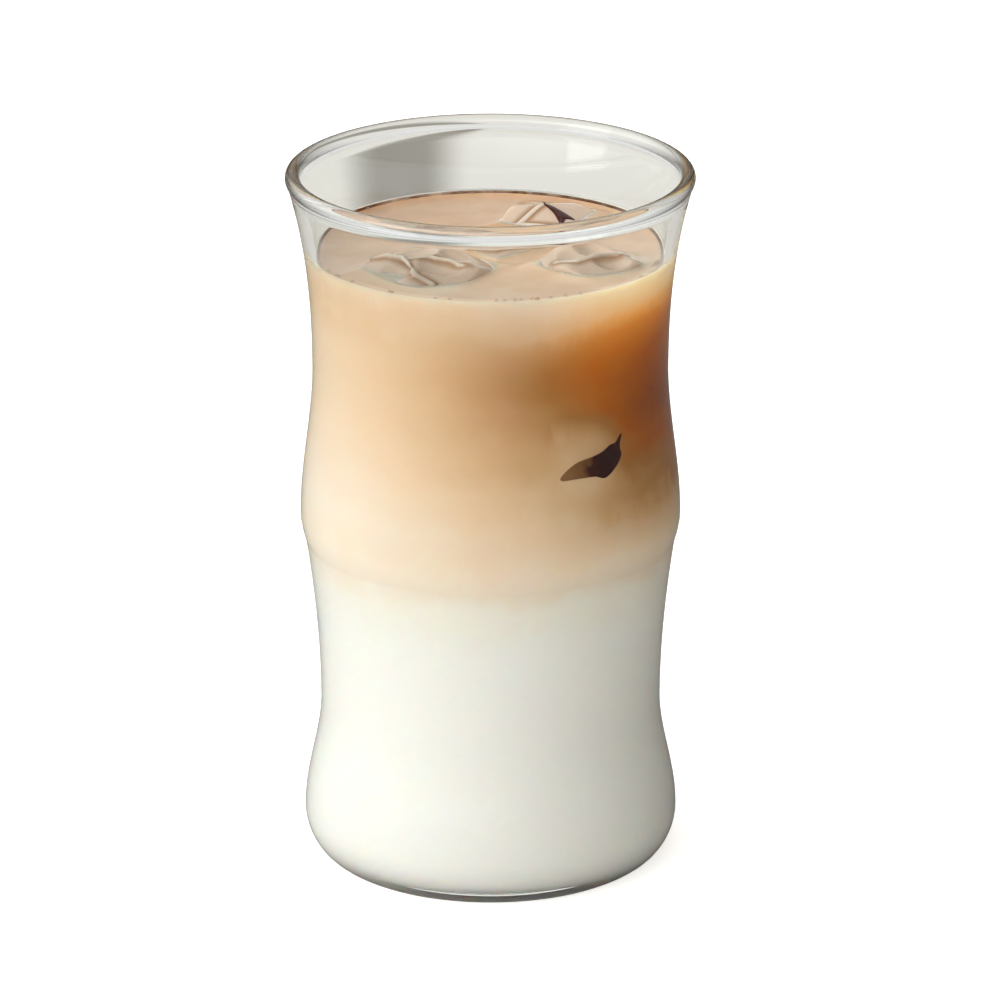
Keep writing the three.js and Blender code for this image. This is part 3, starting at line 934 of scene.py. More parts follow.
@dataclass
class Tumbler:
    """The glass: a blown bamboo-joint tumbler with a foot ring, a round heel and a fire-polished lip."""

    wall: BambooWall
    steps: int = 192
    spacing: float = 2.0
    arc_steps: int = 14
    hollow_steps: int = 8
    hollow_start: float = 0.06
    floor_shares: tuple[float, ...] = (0.66, 0.33, 0.05)

    def outline(self) -> np.ndarray:
        """Draws half a section, from under the foot, up the outside, over the lip and down the inside.

        Returns:
            Radius and height of each point, in millimetres.
        """
        w = self.wall
        arc = np.linspace(0, np.pi / 2, self.arc_steps)
        under = np.linspace(self.hollow_start, 1, self.hollow_steps)
        hollow = np.column_stack([w.hollow_radius * under, w.hollow_depth * (1 - under ** 2)])
        heel = np.column_stack([w.foot_radius + (w.base_radius - w.foot_radius) * np.sin(arc),
                                w.base_rise * (1 - np.cos(arc))])
        turn = np.radians(np.linspace(w.bead_from, w.bead_to, 2 * self.arc_steps))
        lip = np.column_stack([w.mouth_radius - w.bead + w.bead * np.cos(turn),
                               w.height - w.bead + w.bead * np.sin(turn)])
        levels = w.levels(w.base_rise, lip[0, 1], self.spacing)[:-1]
        outside = np.column_stack([w.outer(levels), levels])
        inside = np.column_stack([w.inner(levels), levels])[::-1]
        reach = w.base_radius - w.wall - w.floor_radius
        floor = np.column_stack([w.floor_radius + reach * np.cos(arc),
                                 w.base_rise - (w.base_rise - w.floor) * np.sin(arc)])[1:]
        disc = np.column_stack([w.floor_radius * np.array(self.floor_shares),
                                np.full(len(self.floor_shares), w.floor)])
        return np.vstack([hollow, heel, outside[1:], lip, inside, floor, disc])

    def build(self) -> bpy.types.Object:
        """Turns the section about the axis."""
        rings = turned_rings(self.outline(), self.steps)
        return skin_rings("tumbler_glass", rings, (0, 0, self.wall.hollow_depth), (0, 0, self.wall.floor))

    def dress(self, glass: bpy.types.Object) -> None:
        """Gives the glass its finish and body.

        Args:
            glass: The turned glass.
        """
        glass.data.materials.append(ClearGlass().material(self.wall.height))
        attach(glass, GLASS_BODY)
        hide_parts("tumbler")


def smooth_max(parts: Sequence[np.ndarray], softness: float) -> np.ndarray:
    """Joins distances so that the edges between their faces are round.

    Args:
        parts: Distances of the same points to each face, positive outside.
        softness: How round the edges are, in millimetres.

    Returns:
        The joined distances.
    """
    stack = np.stack(parts) / softness
    peak = stack.max(axis=0)
    return softness * (peak + np.log(np.exp(stack - peak).sum(axis=0)))


@dataclass(frozen=True)
class Facet:
    """A flat that the melt has left: the way it faces, and its distance from the middle of the ice."""

    bearing: float
    pitch: float
    distance: float

    @property
    def normal(self) -> np.ndarray:
        """The direction that the flat faces."""
        return np.array(way_to(self.bearing, self.pitch))


@dataclass(frozen=True)
class Dish:
    """A round hollow that the melt has left in the top: its place from the middle, radius and depth."""

    x: float
    y: float
    radius: float
    depth: float


@dataclass(frozen=True)
class Ridge:
    """A thin rim that the melt has left: its points from the middle, with their drop below the top."""

    points: tuple[tuple[float, float, float], ...]
    radius: float = 0.55

    def outside(self, offset: np.ndarray, top: float) -> np.ndarray:
        """Distance of points from the ridge, positive outside.

        Args:
            offset: Points from the middle of the ice, in millimetres.
            top: Height of the top of the ice above its middle.

        Returns:
            Distances in millimetres.
        """
        line = np.array([(x, y, top - drop) for x, y, drop in self.points])
        near = []
        for a, b in zip(line, line[1:]):
            along = np.clip((offset - a) @ (b - a) / ((b - a) @ (b - a)), 0, 1)
            near.append(np.linalg.norm(offset - a - along[:, None] * (b - a), axis=1))
        return np.min(near, axis=0) - self.radius


@dataclass
class IceBlock:
    """A tray cube of ice, half melted, that floats in the drink and lifts out."""

    node: str
    body: str
    side: float
    turn: float
    lean_to: float
    lean: float = 3.5
    draft: float = 0.1
    softness: float = 0.35
    ripple: float = 0.25
    ripple_mm: float = 7.0
    seed: float = 0.0
    facets: tuple[Facet, ...] = ()
    dishes: tuple[Dish, ...] = ()
    ridges: tuple[Ridge, ...] = ()
    ridge_reach: float = 2.0
    detail: int = 6
    solve_steps: int = 26
    middle: np.ndarray = field(init=False)
    tall: float = field(init=False)

    def __post_init__(self) -> None:
        """Takes the place and height of the ice from its node."""
        low, high = (np.array(corner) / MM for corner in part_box(self.node))
        self.middle = (low + high) / 2
        self.tall = high[2] - low[2]

    def local(self, points: np.ndarray) -> np.ndarray:
        """Turns points of the row frame into the ice's own axes.

        Args:
            points: Points in millimetres.

        Returns:
            The same points from the middle of the ice, along its sides.
        """
        t, b, a = math.radians(self.turn), math.radians(self.lean_to), math.radians(self.lean)
        hinge = np.array([-math.sin(b), math.cos(b), 0.0])
        cross = np.array([[0, -hinge[2], hinge[1]], [hinge[2], 0, -hinge[0]], [-hinge[1], hinge[0], 0]])
        lean = np.eye(3) + math.sin(a) * cross + (1 - math.cos(a)) * cross @ cross
        turn = np.array([[math.cos(t), -math.sin(t), 0], [math.sin(t), math.cos(t), 0], [0, 0, 1]])
        return (points - self.middle) @ (lean @ turn)

    def outside(self, points: np.ndarray) -> np.ndarray:
        """Distance of points from the ice, positive outside.

        Args:
            points: Points of the row frame in millimetres.

        Returns:
            Distances in millimetres.
        """
        x, y, z = self.local(points).T
        half = self.side / 2 + self.draft * z
        faces = [x - half, -x - half, y - half, -y - half, z - self.tall / 2, -z - self.tall / 2]
        offset = points - self.middle
        faces += [offset @ facet.normal - facet.distance for facet in self.facets]
        found = smooth_max(faces, self.softness)
        for dish in self.dishes:
            centre = np.array([dish.x, dish.y, self.tall / 2 + dish.radius - dish.depth])
            hollow = dish.radius - np.linalg.norm(offset - centre, axis=1)
            found = smooth_max([found, hollow], self.softness / 2)
        for ridge in self.ridges:
            found = -smooth_max([-found, -ridge.outside(offset, self.tall / 2)], self.softness / 2)
        return found

    def build(self) -> bpy.types.Object:
        """Makes the ice: a fine ball whose points are drawn out to the faces, then rippled by the melt.

        Returns:
            The ice.
        """
        ball = bmesh.new()
        bmesh.ops.create_icosphere(ball, subdivisions=self.detail, radius=1.0)
        ways = np.array([v.co.normalized() for v in ball.verts])
        faces = [[v.index for v in f.verts] for f in ball.faces]
        ball.free()
        near, far = np.zeros(len(ways)), np.full(len(ways), 2 * self.side)
        for _ in range(self.solve_steps):
            reach = (near + far) / 2
            inside = self.outside(self.middle + ways * reach[:, None]) < 0
            near, far = np.where(inside, reach, near), np.where(inside, far, reach)
        points = self.middle + ways * near[:, None]
        shift = Vector((self.seed, -self.seed, 2 * self.seed))
        wave = np.array([noise.noise(Vector(p / self.ripple_mm) + shift) for p in points])
        points += ways * (self.ripple * (wave - 1))[:, None] / 2
        ice = mesh_object(f"{self.node}_clear", points, faces)
        self.mark_ridges(ice, points)
        return ice

    def mark_ridges(self, ice: bpy.types.Object, points: np.ndarray) -> None:
        """Keeps on the mesh how far each point is from a ridge, as a share of the reach of a ridge's painted
        shade.

        Args:
            ice: The ice.
            points: Its points in millimetres.
        """
        away = np.full(len(points), self.ridge_reach)
        for ridge in self.ridges:
            away = np.minimum(away, ridge.outside(points - self.middle, self.tall / 2) + ridge.radius)
        mark = ice.data.attributes.new(RIDGE, "FLOAT", "POINT")
        mark.data.foreach_set("value", (away / self.ridge_reach).astype(np.float32))

    def dress(self, ice: bpy.types.Object, finish: bpy.types.Material) -> None:
        """Gives the ice its finish and body.

        Args:
            ice: The ice.
            finish: The material that all floating ice shares.
        """
        ice.data.materials.append(finish)
        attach(ice, self.body)
        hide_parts(self.node)


@dataclass
class Drink:
    """The layered latte: one body of liquid that wets the glass, climbs at its edges and lies round the ice."""

    wall: BambooWall
    level: float
    blocks: list[IceBlock]
    steps: int = 288
    rings: int = 130
    ring_crowding: float = 1.2
    spacing: float = 1.5
    arc_steps: int = 12
    floor_shares: tuple[float, ...] = (0.05, 0.5)
    wall_climb: float = 0.7
    climb_swing: float = 0.7
    swing_from: float = 8.0
    ice_climb: float = 0.6
    climb_reach: float = 1.5
    edge_share: float = 0.55

    def climb_at(self, points: np.ndarray) -> np.ndarray:
        """How far the drink climbs the glass beside points: it laps up at the back and lies flat at the front.

        Args:
            points: Places in millimetres.

        Returns:
            Heights above the level in millimetres.
        """
        out = np.maximum(np.hypot(points[..., 0], points[..., 1]), MM)
        return self.wall_climb + self.climb_swing * points[..., 1] / out

    def surface(self, points: np.ndarray) -> np.ndarray:
        """Height of the open surface, which climbs where it meets the glass and the ice.

        Args:
            points: Places in the plane of the surface, in millimetres.

        Returns:
            Heights in millimetres.
        """
        rise = self.climb_at(points)
        gap = self.wall.inner(self.level + rise) + WET_CONTACT - np.hypot(points[:, 0], points[:, 1])
        climb = rise * np.exp(-np.maximum(gap, 0) / self.climb_reach)
        flat = np.column_stack([points[:, :2], np.full(len(points), self.level)])
        for block in self.blocks:
            off = np.maximum(block.outside(flat), 0)
            climb = np.maximum(climb, self.ice_climb * np.exp(-off / self.climb_reach))
        return self.level + climb

    def build(self) -> bpy.types.Object:
        """Makes the body of liquid, before the ice takes its room.

        Returns:
            The drink.
        """
        w = self.wall
        contact = self.level + self.wall_climb
        arc = np.linspace(0, np.pi / 2, self.arc_steps)
        reach = w.base_radius - w.wall - w.floor_radius
        heel = np.column_stack([w.floor_radius + (reach + WET_CONTACT) * np.sin(arc),
                                w.base_rise - (w.base_rise - w.floor + WET_CONTACT) * np.cos(arc)])
        levels = w.levels(w.base_rise, contact, self.spacing)[1:]
        side = np.column_stack([w.inner(levels) + WET_CONTACT, levels])
        disc = np.column_stack([w.floor_radius * np.array(self.floor_shares),
                                np.full(len(self.floor_shares), w.floor - WET_CONTACT)])
        body = turned_rings(np.vstack([disc, heel, side]), self.steps)
        wet = body[-len(side):]
        start = self.level - self.swing_from
        near_top = np.clip((wet[..., 2] - start) / (contact - start), 0, 1)
        wet[..., 2] += (self.climb_at(wet) - self.wall_climb) * near_top
        radius = w.inner(wet[..., 2].ravel()).reshape(near_top.shape) + WET_CONTACT
        wet[..., :2] *= (radius / np.hypot(wet[..., 0], wet[..., 1]))[..., None]
        inward = 1 - np.linspace(0, 1, self.rings)[1:-1] ** self.ring_crowding
        top = body[-1] * inward[:, None, None]
        top[..., 2] = self.surface(top.reshape(-1, 3)).reshape(top.shape[:2])
        middle = float(self.surface(np.zeros((1, 3)))[0])
        return skin_rings("layered_drink", np.concatenate([body, top]), (0, 0, w.floor - WET_CONTACT),
                          (0, 0, middle))

    def cut_seats(self, drink: bpy.types.Object, pieces: list[bpy.types.Object]) -> None:
        """Takes the room of the ice out of the drink, drawn in so that the drink wets the ice.

        Args:
            drink: The body of liquid.
            pieces: The ice that lies in it.
        """
        cutter = bmesh.new()
        for piece in pieces:
            cutter.from_mesh(piece.data)
        cutter.normal_update()
        for vert in cutter.verts:
            vert.co -= vert.normal * ICE_CONTACT * MM
        mesh = bpy.data.meshes.new("ice_room")
        cutter.to_mesh(mesh)
        cutter.free()
        room = bpy.data.objects.new("ice_room", mesh)
        bpy.context.scene.collection.objects.link(room)
        cut = drink.modifiers.new("seats", "BOOLEAN")
        cut.operation, cut.solver, cut.object = "DIFFERENCE", "MANIFOLD", room
        graph = bpy.context.evaluated_depsgraph_get()
        made = bpy.data.meshes.new_from_object(drink.evaluated_get(graph))
        drink.modifiers.clear()
        drink.data = made
        made.name = "layered_drink"
        bpy.data.objects.remove(room)
        bpy.data.meshes.remove(mesh)

    def dress(self, drink: bpy.types.Object) -> None:
        """Gives each face its finish, by what it lies against, and the drink its body.

        Args:
            drink: The body of liquid with its seats cut.
        """
        w = self.wall
        drink.data.materials.clear()
        kinds = [LatteFace.SIDE, LatteFace.SURFACE, LatteFace.EDGE, LatteFace.SEAT]
        for face in kinds:
            finish = Latte(face, w.floor, self.level, w.upper_waist_radius - w.wall)
            drink.data.materials.append(finish.material())
        count = len(drink.data.polygons)
        middles = np.empty(3 * count)
        drink.data.polygons.foreach_get("center", middles)
        middles = middles.reshape(-1, 3) / MM
        height = middles[:, 2]
        in_ice = np.min([block.outside(middles) for block in self.blocks], axis=0) < 0
        from_glass = w.inner(height) - np.hypot(middles[:, 0], middles[:, 1])
        on_glass = (height < w.floor + FILL_GAP) | (from_glass < ON_GLASS)
        # the band where the drink climbs the glass gets the edge finish, a painted shade line
        line = self.level + self.climb_at(middles) * self.edge_share
        edge_shade_band = (height > line) & (from_glass < self.climb_reach)
        open_face = np.where(edge_shade_band, kinds.index(LatteFace.EDGE), kinds.index(LatteFace.SURFACE))
        kind = np.where(on_glass, kinds.index(LatteFace.SIDE),
                        np.where(in_ice, kinds.index(LatteFace.SEAT), open_face))
        drink.data.polygons.foreach_set("material_index", kind.astype(np.int32))
        drink.data.shade_smooth()
        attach(drink, GLASS_BODY)
        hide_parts("milk_layer", "blend_layer", "coffee_layer")


@dataclass
class WedgedIce:
    """The cube that lies under the others against the front-right wall, with coffee caught in front of it."""

    wall: BambooWall
    level: float
    block: IceBlock
    pressed_fade: float = 2.0
    top_fade: float = 13.5
    fleck_bearing: float = 305.0
    fleck_height: float = 91.2
    fleck_thickness: float = 1.2
    fleck_in_glass: float = 0.18
    fleck_lift: float = 0.05
    fleck_shares: tuple[float, ...] = (0.25, 0.5, 0.72, 0.88, 0.97, 1.0)
    curve_steps: int = 8
    fleck_middle: tuple[float, float] = (2.4, -2.2)
    fleck_outline: tuple[tuple[float, float], ...] = (
        (7.9, 2.7), (7.2, 0.4), (7.4, -1.6), (5.7, -3.5), (2.9, -5.0), (0.3, -4.3), (-3.6, -4.1), (-6.9, -4.0),
        (-6.7, -2.9), (-3.6, -1.0), (0.4, -0.3), (2.6, 0.2), (4.6, 1.1), (6.2, 1.3))

    def build_ice(self) -> bpy.types.Object:
        """Makes the cube and presses its outer side to the curve of the glass.

        Returns:
            The cube, with how firmly it is pressed kept on its mesh.
        """
        ice = self.block.build()
        points = np.empty(3 * len(ice.data.vertices))
        ice.data.vertices.foreach_get("co", points)
        points = points.reshape(-1, 3)
        radius = np.hypot(points[:, 0], points[:, 1])
        wall_radius = self.wall.inner(points[:, 2] / MM) * MM
        over = np.clip((radius - wall_radius) / (self.pressed_fade * MM), 0, 1)
        below = np.clip((self.block.middle[2] + self.block.tall / 2 - points[:, 2] / MM) / self.top_fade, 0, 1)
        press = over * over * (3 - 2 * over) * below * below * (3 - 2 * below)
        limit = wall_radius + WET_CONTACT * MM * (0.5 + press)
        points[:, :2] *= np.minimum(1, limit / radius)[:, None]
        ice.data.vertices.foreach_set("co", points.ravel())
        pressed = ice.data.attributes.new(PRESSED, "FLOAT", "POINT")
        pressed.data.foreach_set("value", np.clip(2 * press - 1, 0, 1))
        return ice

    def on_wall(self, across: np.ndarray, up: np.ndarray, depth: np.ndarray) -> np.ndarray:
        """Places points on the inside of the wall.

        Args:
            across: Millimetres along the wall, to the right.
            up: Millimetres above the fleck's height.
            depth: Millimetres in from the glass.

        Returns:
            Points of the row frame.
        """
        height = self.fleck_height + up
        radius = self.wall.inner(height) + self.fleck_in_glass - depth
        bearing = math.radians(self.fleck_bearing) + across / self.wall.upper_waist_radius
        return np.stack([radius * np.cos(bearing), radius * np.sin(bearing), height], axis=-1)

    def build_fleck(self) -> bpy.types.Object:
        """Makes the fleck: a leaf-shaped lens that lies along the wall, thin at its edge.

        Returns:
            The fleck.
        """
        corners = np.array(self.fleck_outline[::-1])
        fine = closed_curve(corners, self.curve_steps)
        shares = self.fleck_shares
        middle = np.array(self.fleck_middle)
        rings = []
        for share, out in [(s, True) for s in shares] + [(s, False) for s in shares[-2::-1]]:
            flat = middle + (fine - middle) * share
            thick = np.zeros(len(flat)) if out else np.full(len(flat), self.fleck_thickness * (1 - share ** 2))
            rings.append(self.on_wall(flat[:, 0], flat[:, 1], thick + (0.0 if out else self.fleck_lift)))
        ends = [self.on_wall(*middle, depth) for depth in (np.float64(0.0), np.float64(self.fleck_thickness))]
        return skin_rings("coffee_fleck_leaf", np.array(rings), ends[0], ends[1])

    def dress(self, ice: bpy.types.Object, fleck: bpy.types.Object) -> None:
        """Gives the cube and the fleck their finishes and body.

        Args:
            ice: The wedged cube.
            fleck: The coffee in front of it.
        """
        w = self.wall
        film = Latte(LatteFace.FILM, w.floor, self.level, w.upper_waist_radius - w.wall)
        for piece, finish, node, slot in ((ice, film, "ice_cube_wedged", "ice"),
                                          (fleck, DarkCoffee(), "coffee_fleck", "fleck")):
            piece.data.materials.append(finish.material())
            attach(piece, GLASS_BODY)
            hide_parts(node)


@dataclass
class CoffeeSliver:
    """A dark sliver of coffee that has run down one flank of the ice at the back right."""

    block: IceBlock
    outline: tuple[tuple[float, float], ...] = (
        (-1.4, 1.8), (1.2, 0.2), (4.9, -3.0), (3.0, -4.0), (2.2, -8.4), (1.6, -5.6), (0.6, -2.2))
    middle: tuple[float, float] = (1.8, -2.6)
    thickness: float = 0.16
    rings: tuple[tuple[float, float], ...] = ((0.4, 0.0), (0.75, 0.0), (1.0, 0.0), (0.9, 1.0), (0.5, 1.0))
    curve_steps: int = 6
    solve_steps: int = 20

    def on_ice(self, flat: np.ndarray) -> np.ndarray:
        """Lays points on the top of the ice.

        Args:
            flat: Places from the middle of the ice, in millimetres.

        Returns:
            Points of the row frame.
        """
        points = np.column_stack([self.block.middle[:2] + flat, np.zeros(len(flat))])
        low = np.full(len(flat), self.block.middle[2])
        high = low + self.block.tall
        for _ in range(self.solve_steps):
            points[:, 2] = (low + high) / 2
            inside = self.block.outside(points) < 0
            low, high = np.where(inside, points[:, 2], low), np.where(inside, high, points[:, 2])
        return points

    def build(self) -> bpy.types.Object:
        """Makes the sliver as a thin leaf that follows the ice.

        Returns:
            The sliver.
        """
        fine = closed_curve(np.array(self.outline), self.curve_steps)
        middle = np.array(self.middle)
        rings = []
        for share, rise in self.rings:
            ring = self.on_ice(middle + (fine - middle) * share)
            ring[:, 2] += (rise - 0.5) * self.thickness
            rings.append(ring)
        ends = [self.on_ice(middle[None, :])[0] + (0, 0, side * self.thickness / 2) for side in (-1, 1)]
        return skin_rings("coffee_sliver", np.array(rings)[:, ::-1], ends[0], ends[1])

    def dress(self, sliver: bpy.types.Object) -> None:
        """Gives the sliver its finish, which is maroon throughout, and its body.

        Args:
            sliver: The leaf on the ice.
        """
        sliver.data.materials.append(DarkCoffee("coffee_run", start=-1.0, end=0.0).material())
        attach(sliver, self.block.body)


@dataclass
class EdgeBubbles:
    """Small bubbles that cling to the glass where the drink meets it."""

    radius: float
    level: float
    swing: float
    count: int = 46
    seed: int = 11
    smallest: float = 0.18
    largest: float = 0.5

    def tree(self) -> tuple[bpy.types.NodeTree, dict[str, str]]:
        """Builds the node tree that scatters the bubbles.

        Returns:
            The tree, and the identifier of each named input.
        """
        tree = bpy.data.node_groups.new("edge_bubbles", "GeometryNodeTree")
        inputs = {name: tree.interface.new_socket(name, in_out="INPUT", socket_type=kind).identifier
                  for name, kind in (("Count", "NodeSocketInt"), ("Radius", "NodeSocketFloat"),
                                     ("Level", "NodeSocketFloat"), ("Swing", "NodeSocketFloat"),
                                     ("Smallest", "NodeSocketFloat"), ("Largest", "NodeSocketFloat"),
                                     ("Seed", "NodeSocketInt"), ("Finish", "NodeSocketMaterial"))}
        tree.interface.new_socket("Geometry", in_out="OUTPUT", socket_type="NodeSocketGeometry")
        given = add_node(tree, "NodeGroupInput").outputs
        bearing = add_node(tree, "FunctionNodeRandomValue", {"Max": 2 * math.pi}, {"Seed": given["Seed"]})
        across = add_node(tree, "ShaderNodeMath", None, {0: bearing.outputs["Value"]}, operation="COSINE")
        along = add_node(tree, "ShaderNodeMath", None, {0: bearing.outputs["Value"]}, operation="SINE")
        way = add_node(tree, "ShaderNodeCombineXYZ", None, {"X": across.outputs[0], "Y": along.outputs[0]})
        ring = add_node(tree, "ShaderNodeVectorMath", None, {0: way.outputs[0], "Scale": given["Radius"]},
                        operation="SCALE")
        lift = add_node(tree, "ShaderNodeMath", None,
                        {0: along.outputs[0], 1: given["Swing"], 2: given["Level"]}, operation="MULTIPLY_ADD")
        rise = add_node(tree, "ShaderNodeCombineXYZ", None, {"Z": lift.outputs[0]})
        place = add_node(tree, "ShaderNodeVectorMath", None, {0: ring.outputs[0], 1: rise.outputs[0]},
                         operation="ADD")
        points = add_node(tree, "GeometryNodePoints", None,
                          {"Count": given["Count"], "Position": place.outputs[0]})
        ball = add_node(tree, "GeometryNodeMeshIcoSphere", {"Radius": 1.0, "Subdivisions": 3})
        size = add_node(tree, "FunctionNodeRandomValue", None,
                        {"Min": given["Smallest"], "Max": given["Largest"], "Seed": given["Seed"]})
        made = add_node(tree, "GeometryNodeInstanceOnPoints", None,
                        {"Points": points.outputs[0], "Instance": ball.outputs["Mesh"],
                         "Scale": size.outputs["Value"]})
        real = add_node(tree, "GeometryNodeRealizeInstances", None, {"Geometry": made.outputs[0]})
        dressed = add_node(tree, "GeometryNodeSetMaterial", None,
                           {"Geometry": real.outputs[0], "Material": given["Finish"]})
        add_node(tree, "NodeGroupOutput", None, {"Geometry": dressed.outputs[0]})
        return tree, inputs

    def build(self) -> bpy.types.Object:
        """Scatters the bubbles and keeps them as a plain mesh.

        Returns:
            The bubbles.
        """
        bubbles = mesh_object("edge_bubbles", np.empty((0, 3)), [])
        tree, inputs = self.tree()
        scatter = bubbles.modifiers.new("scatter", "NODES")
        scatter.node_group = tree
        values = {"Count": self.count, "Radius": self.radius * MM, "Level": self.level * MM,
                  "Swing": self.swing * MM, "Smallest": self.smallest * MM, "Largest": self.largest * MM,
                  "Seed": self.seed, "Finish": BubbleFilm().material()}
        for name, value in values.items():
            scatter[inputs[name]] = value
        graph = bpy.context.evaluated_depsgraph_get()
        made = bpy.data.meshes.new_from_object(bubbles.evaluated_get(graph))
        bubbles.modifiers.clear()
        bubbles.data = made
        made.shade_smooth()
        return bubbles

    def dress(self, bubbles: bpy.types.Object) -> None:
        """Puts the bubbles on the body of the drink."""
        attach(bubbles, GLASS_BODY)


def closed_curve(corners: np.ndarray, steps: int) -> np.ndarray:
    """Rounds a closed outline through its corners.

    Args:
        corners: The corners in order.
        steps: Points between two corners.

    Returns:
        The points of the curve.
    """
    before, after = np.roll(corners, 1, axis=0), np.roll(corners, -1, axis=0)
    later = np.roll(corners, -2, axis=0)
    points = []
    for t in np.linspace(0, 1, steps, endpoint=False):
        points.append(0.5 * (2 * corners + (after - before) * t
                             + (2 * before - 5 * corners + 4 * after - later) * t ** 2
                             + (3 * corners - before - 3 * after + later) * t ** 3))
    return np.stack(points, axis=1).reshape(-1, corners.shape[1])


@dataclass(frozen=True)
class SoftLamp:
    """A soft box: where it stands round the object, its size and its power in watts."""

    name: str
    bearing: float
    pitch: float
    distance: float
    width: float
    height: float
    watts: float
    colour: str = "FFFFFF"

    def build(self, aim: Vector) -> bpy.types.Object:
        """Makes the lamp and points it.

        Args:
            aim: The point that it faces, in metres.

        Returns:
            The lamp.
        """
        lamp = bpy.data.lights.new(self.name, "AREA")
        lamp.shape, lamp.size, lamp.size_y = "RECTANGLE", self.width * MM, self.height * MM
        lamp.energy, lamp.color = self.watts, linear(self.colour)[:3]
        way = Vector(way_to(self.bearing, self.pitch))
        made = bpy.data.objects.new(self.name, lamp)
        made.location = aim + way * self.distance * MM
        made.rotation_euler = way.to_track_quat("Z", "Y").to_euler()
        bpy.context.scene.collection.objects.link(made)
        return made


@dataclass
class Studio:
    """A white floor in a pale room, bright by its window at the front left and dim and warm opposite."""

    floor_half: float = 4000.0
    floor_drop: float = 0.05
    window_bearing: float = 208.0
    window_pitch: float = 28.0
    room_stops: tuple[tuple[float, str, float], ...] = (
        (-1.0, "C8A682", 0.07), (-0.45, "CBAE90", 0.18), (0.0, "E8DFD3", 0.96), (0.45, "FFFFFF", 2.45),
        (1.0, "FFFFFF", 4.3))
    rise_stops: tuple[tuple[float, float], ...] = (
        (0.0, 0.08), (0.12, 0.45), (0.3, 1.0), (0.55, 0.88), (0.8, 0.45), (1.0, 0.35))
    seen_through: float = 0.75
    bounces: tuple[int, int, int] = (20, 20, 16)
    lamps: tuple[SoftLamp, ...] = (
        SoftLamp("window_light", bearing=208.0, pitch=28.0, distance=900.0, width=420.0, height=560.0,
                 watts=1.2),
    )

    def build_floor(self) -> None:
        """Lays the floor just under the foot."""
        s, z = self.floor_half, -self.floor_drop
        floor = mesh_object("floor", np.array([(-s, -s, z), (s, -s, z), (s, s, z), (-s, s, z)]), [(0, 1, 2, 3)])
        floor.data.materials.append(PaleFloor().material())

    def build_room(self) -> None:
        """Sets the room's light: plain white where it is seen straight, and one-sided on the object."""
        world = bpy.data.worlds.new("pale_room")
        bpy.context.scene.world = world
        world.use_nodes = True
        tree = world.node_tree
        tree.nodes.clear()
        window = way_to(self.window_bearing, self.window_pitch)
        way = add_node(tree, "ShaderNodeTexCoord")
        facing = add_node(tree, "ShaderNodeVectorMath", {1: window}, {0: way.outputs["Generated"]},
                          operation="DOT_PRODUCT")
        share = add_node(tree, "ShaderNodeMapRange", {"From Min": -1.0, "From Max": 1.0},
                         {"Value": facing.outputs["Value"]})
        strongest = max(light for _, _, light in self.room_stops)
        ramp = add_node(tree, "ShaderNodeValToRGB", None, {"Fac": share.outputs["Result"]})
        set_ramp(ramp, [((at + 1) / 2, tuple(c * light / strongest for c in linear(colour)[:3]) + (1.0,))
                        for at, colour, light in self.room_stops])
        parts = add_node(tree, "ShaderNodeSeparateXYZ", None, {0: way.outputs["Generated"]})
        rise = add_node(tree, "ShaderNodeValToRGB", None, {"Fac": parts.outputs["Z"]})
        rise.color_ramp.interpolation = "EASE"
        set_ramp(rise, [(at, (light, light, light, 1.0)) for at, light in self.rise_stops])
        power = add_node(tree, "ShaderNodeMath", {1: strongest}, {0: rise.outputs["Color"]},
                         operation="MULTIPLY")
        path = add_node(tree, "ShaderNodeLightPath")
        seen = add_node(tree, "ShaderNodeMath", {1: self.seen_through},
                        {0: seen_through_glass(tree, path), 2: path.outputs["Is Camera Ray"]},
                        operation="MULTIPLY_ADD")
        room = add_node(tree, "ShaderNodeBackground", None,
                        {"Color": ramp.outputs["Color"], "Strength": power.outputs[0]})
        white = add_node(tree, "ShaderNodeBackground", {"Color": (1, 1, 1, 1), "Strength": 1.0})
        light = add_node(tree, "ShaderNodeMixShader", None,
                         {0: seen.outputs[0], 1: room.outputs[0], 2: white.outputs[0]})
        add_node(tree, "ShaderNodeOutputWorld", None, {"Surface": light.outputs[0]})

    def build(self, aim: Vector) -> None:
        """Makes the whole studio.

        Args:
            aim: The point that the lamps face, in metres.
        """
        self.build_floor()
        self.build_room()
        for lamp in self.lamps:
            lamp.build(aim)
        bpy.context.scene.view_settings.view_transform = "Standard"
        self.allow_bounces()

    def allow_bounces(self) -> None:
        """Lets light run round inside the lip often enough to come out again, so that it is not black."""
        paths = bpy.context.scene.cycles
        paths.max_bounces, paths.transmission_bounces, paths.glossy_bounces = self.bounces


@dataclass(frozen=True)
class PhotoCamera:
    """The photograph's view: a long lens, a little above the glass, with the glass left of the middle."""

    focal_px: float = 7200.0
    frame_px: float = 1000.0
    sensor: float = 36.0
    pitch: float = 19.25
    distance: float = 1408.0
    aim: tuple[float, float, float] = (1.87, 0.0, 72.5)
    clip_m: tuple[float, float] = (0.01, 100.0)

    def build(self) -> bpy.types.Object:
        """Makes the scene's camera.

        Returns:
            The camera.
        """
        lens = bpy.data.cameras.new("photo_camera")
        lens.sensor_width = self.sensor
        lens.lens = self.sensor * self.focal_px / self.frame_px
        lens.clip_start, lens.clip_end = self.clip_m
        p = math.radians(self.pitch)
        back = Vector((0.0, -math.cos(p), math.sin(p)))
        made = bpy.data.objects.new("photo_camera", lens)
        made.location = (Vector(self.aim) + back * self.distance) * MM
        made.rotation_euler = back.to_track_quat("Z", "Y").to_euler()
        bpy.context.scene.collection.objects.link(made)
        bpy.context.scene.camera = made
        return made


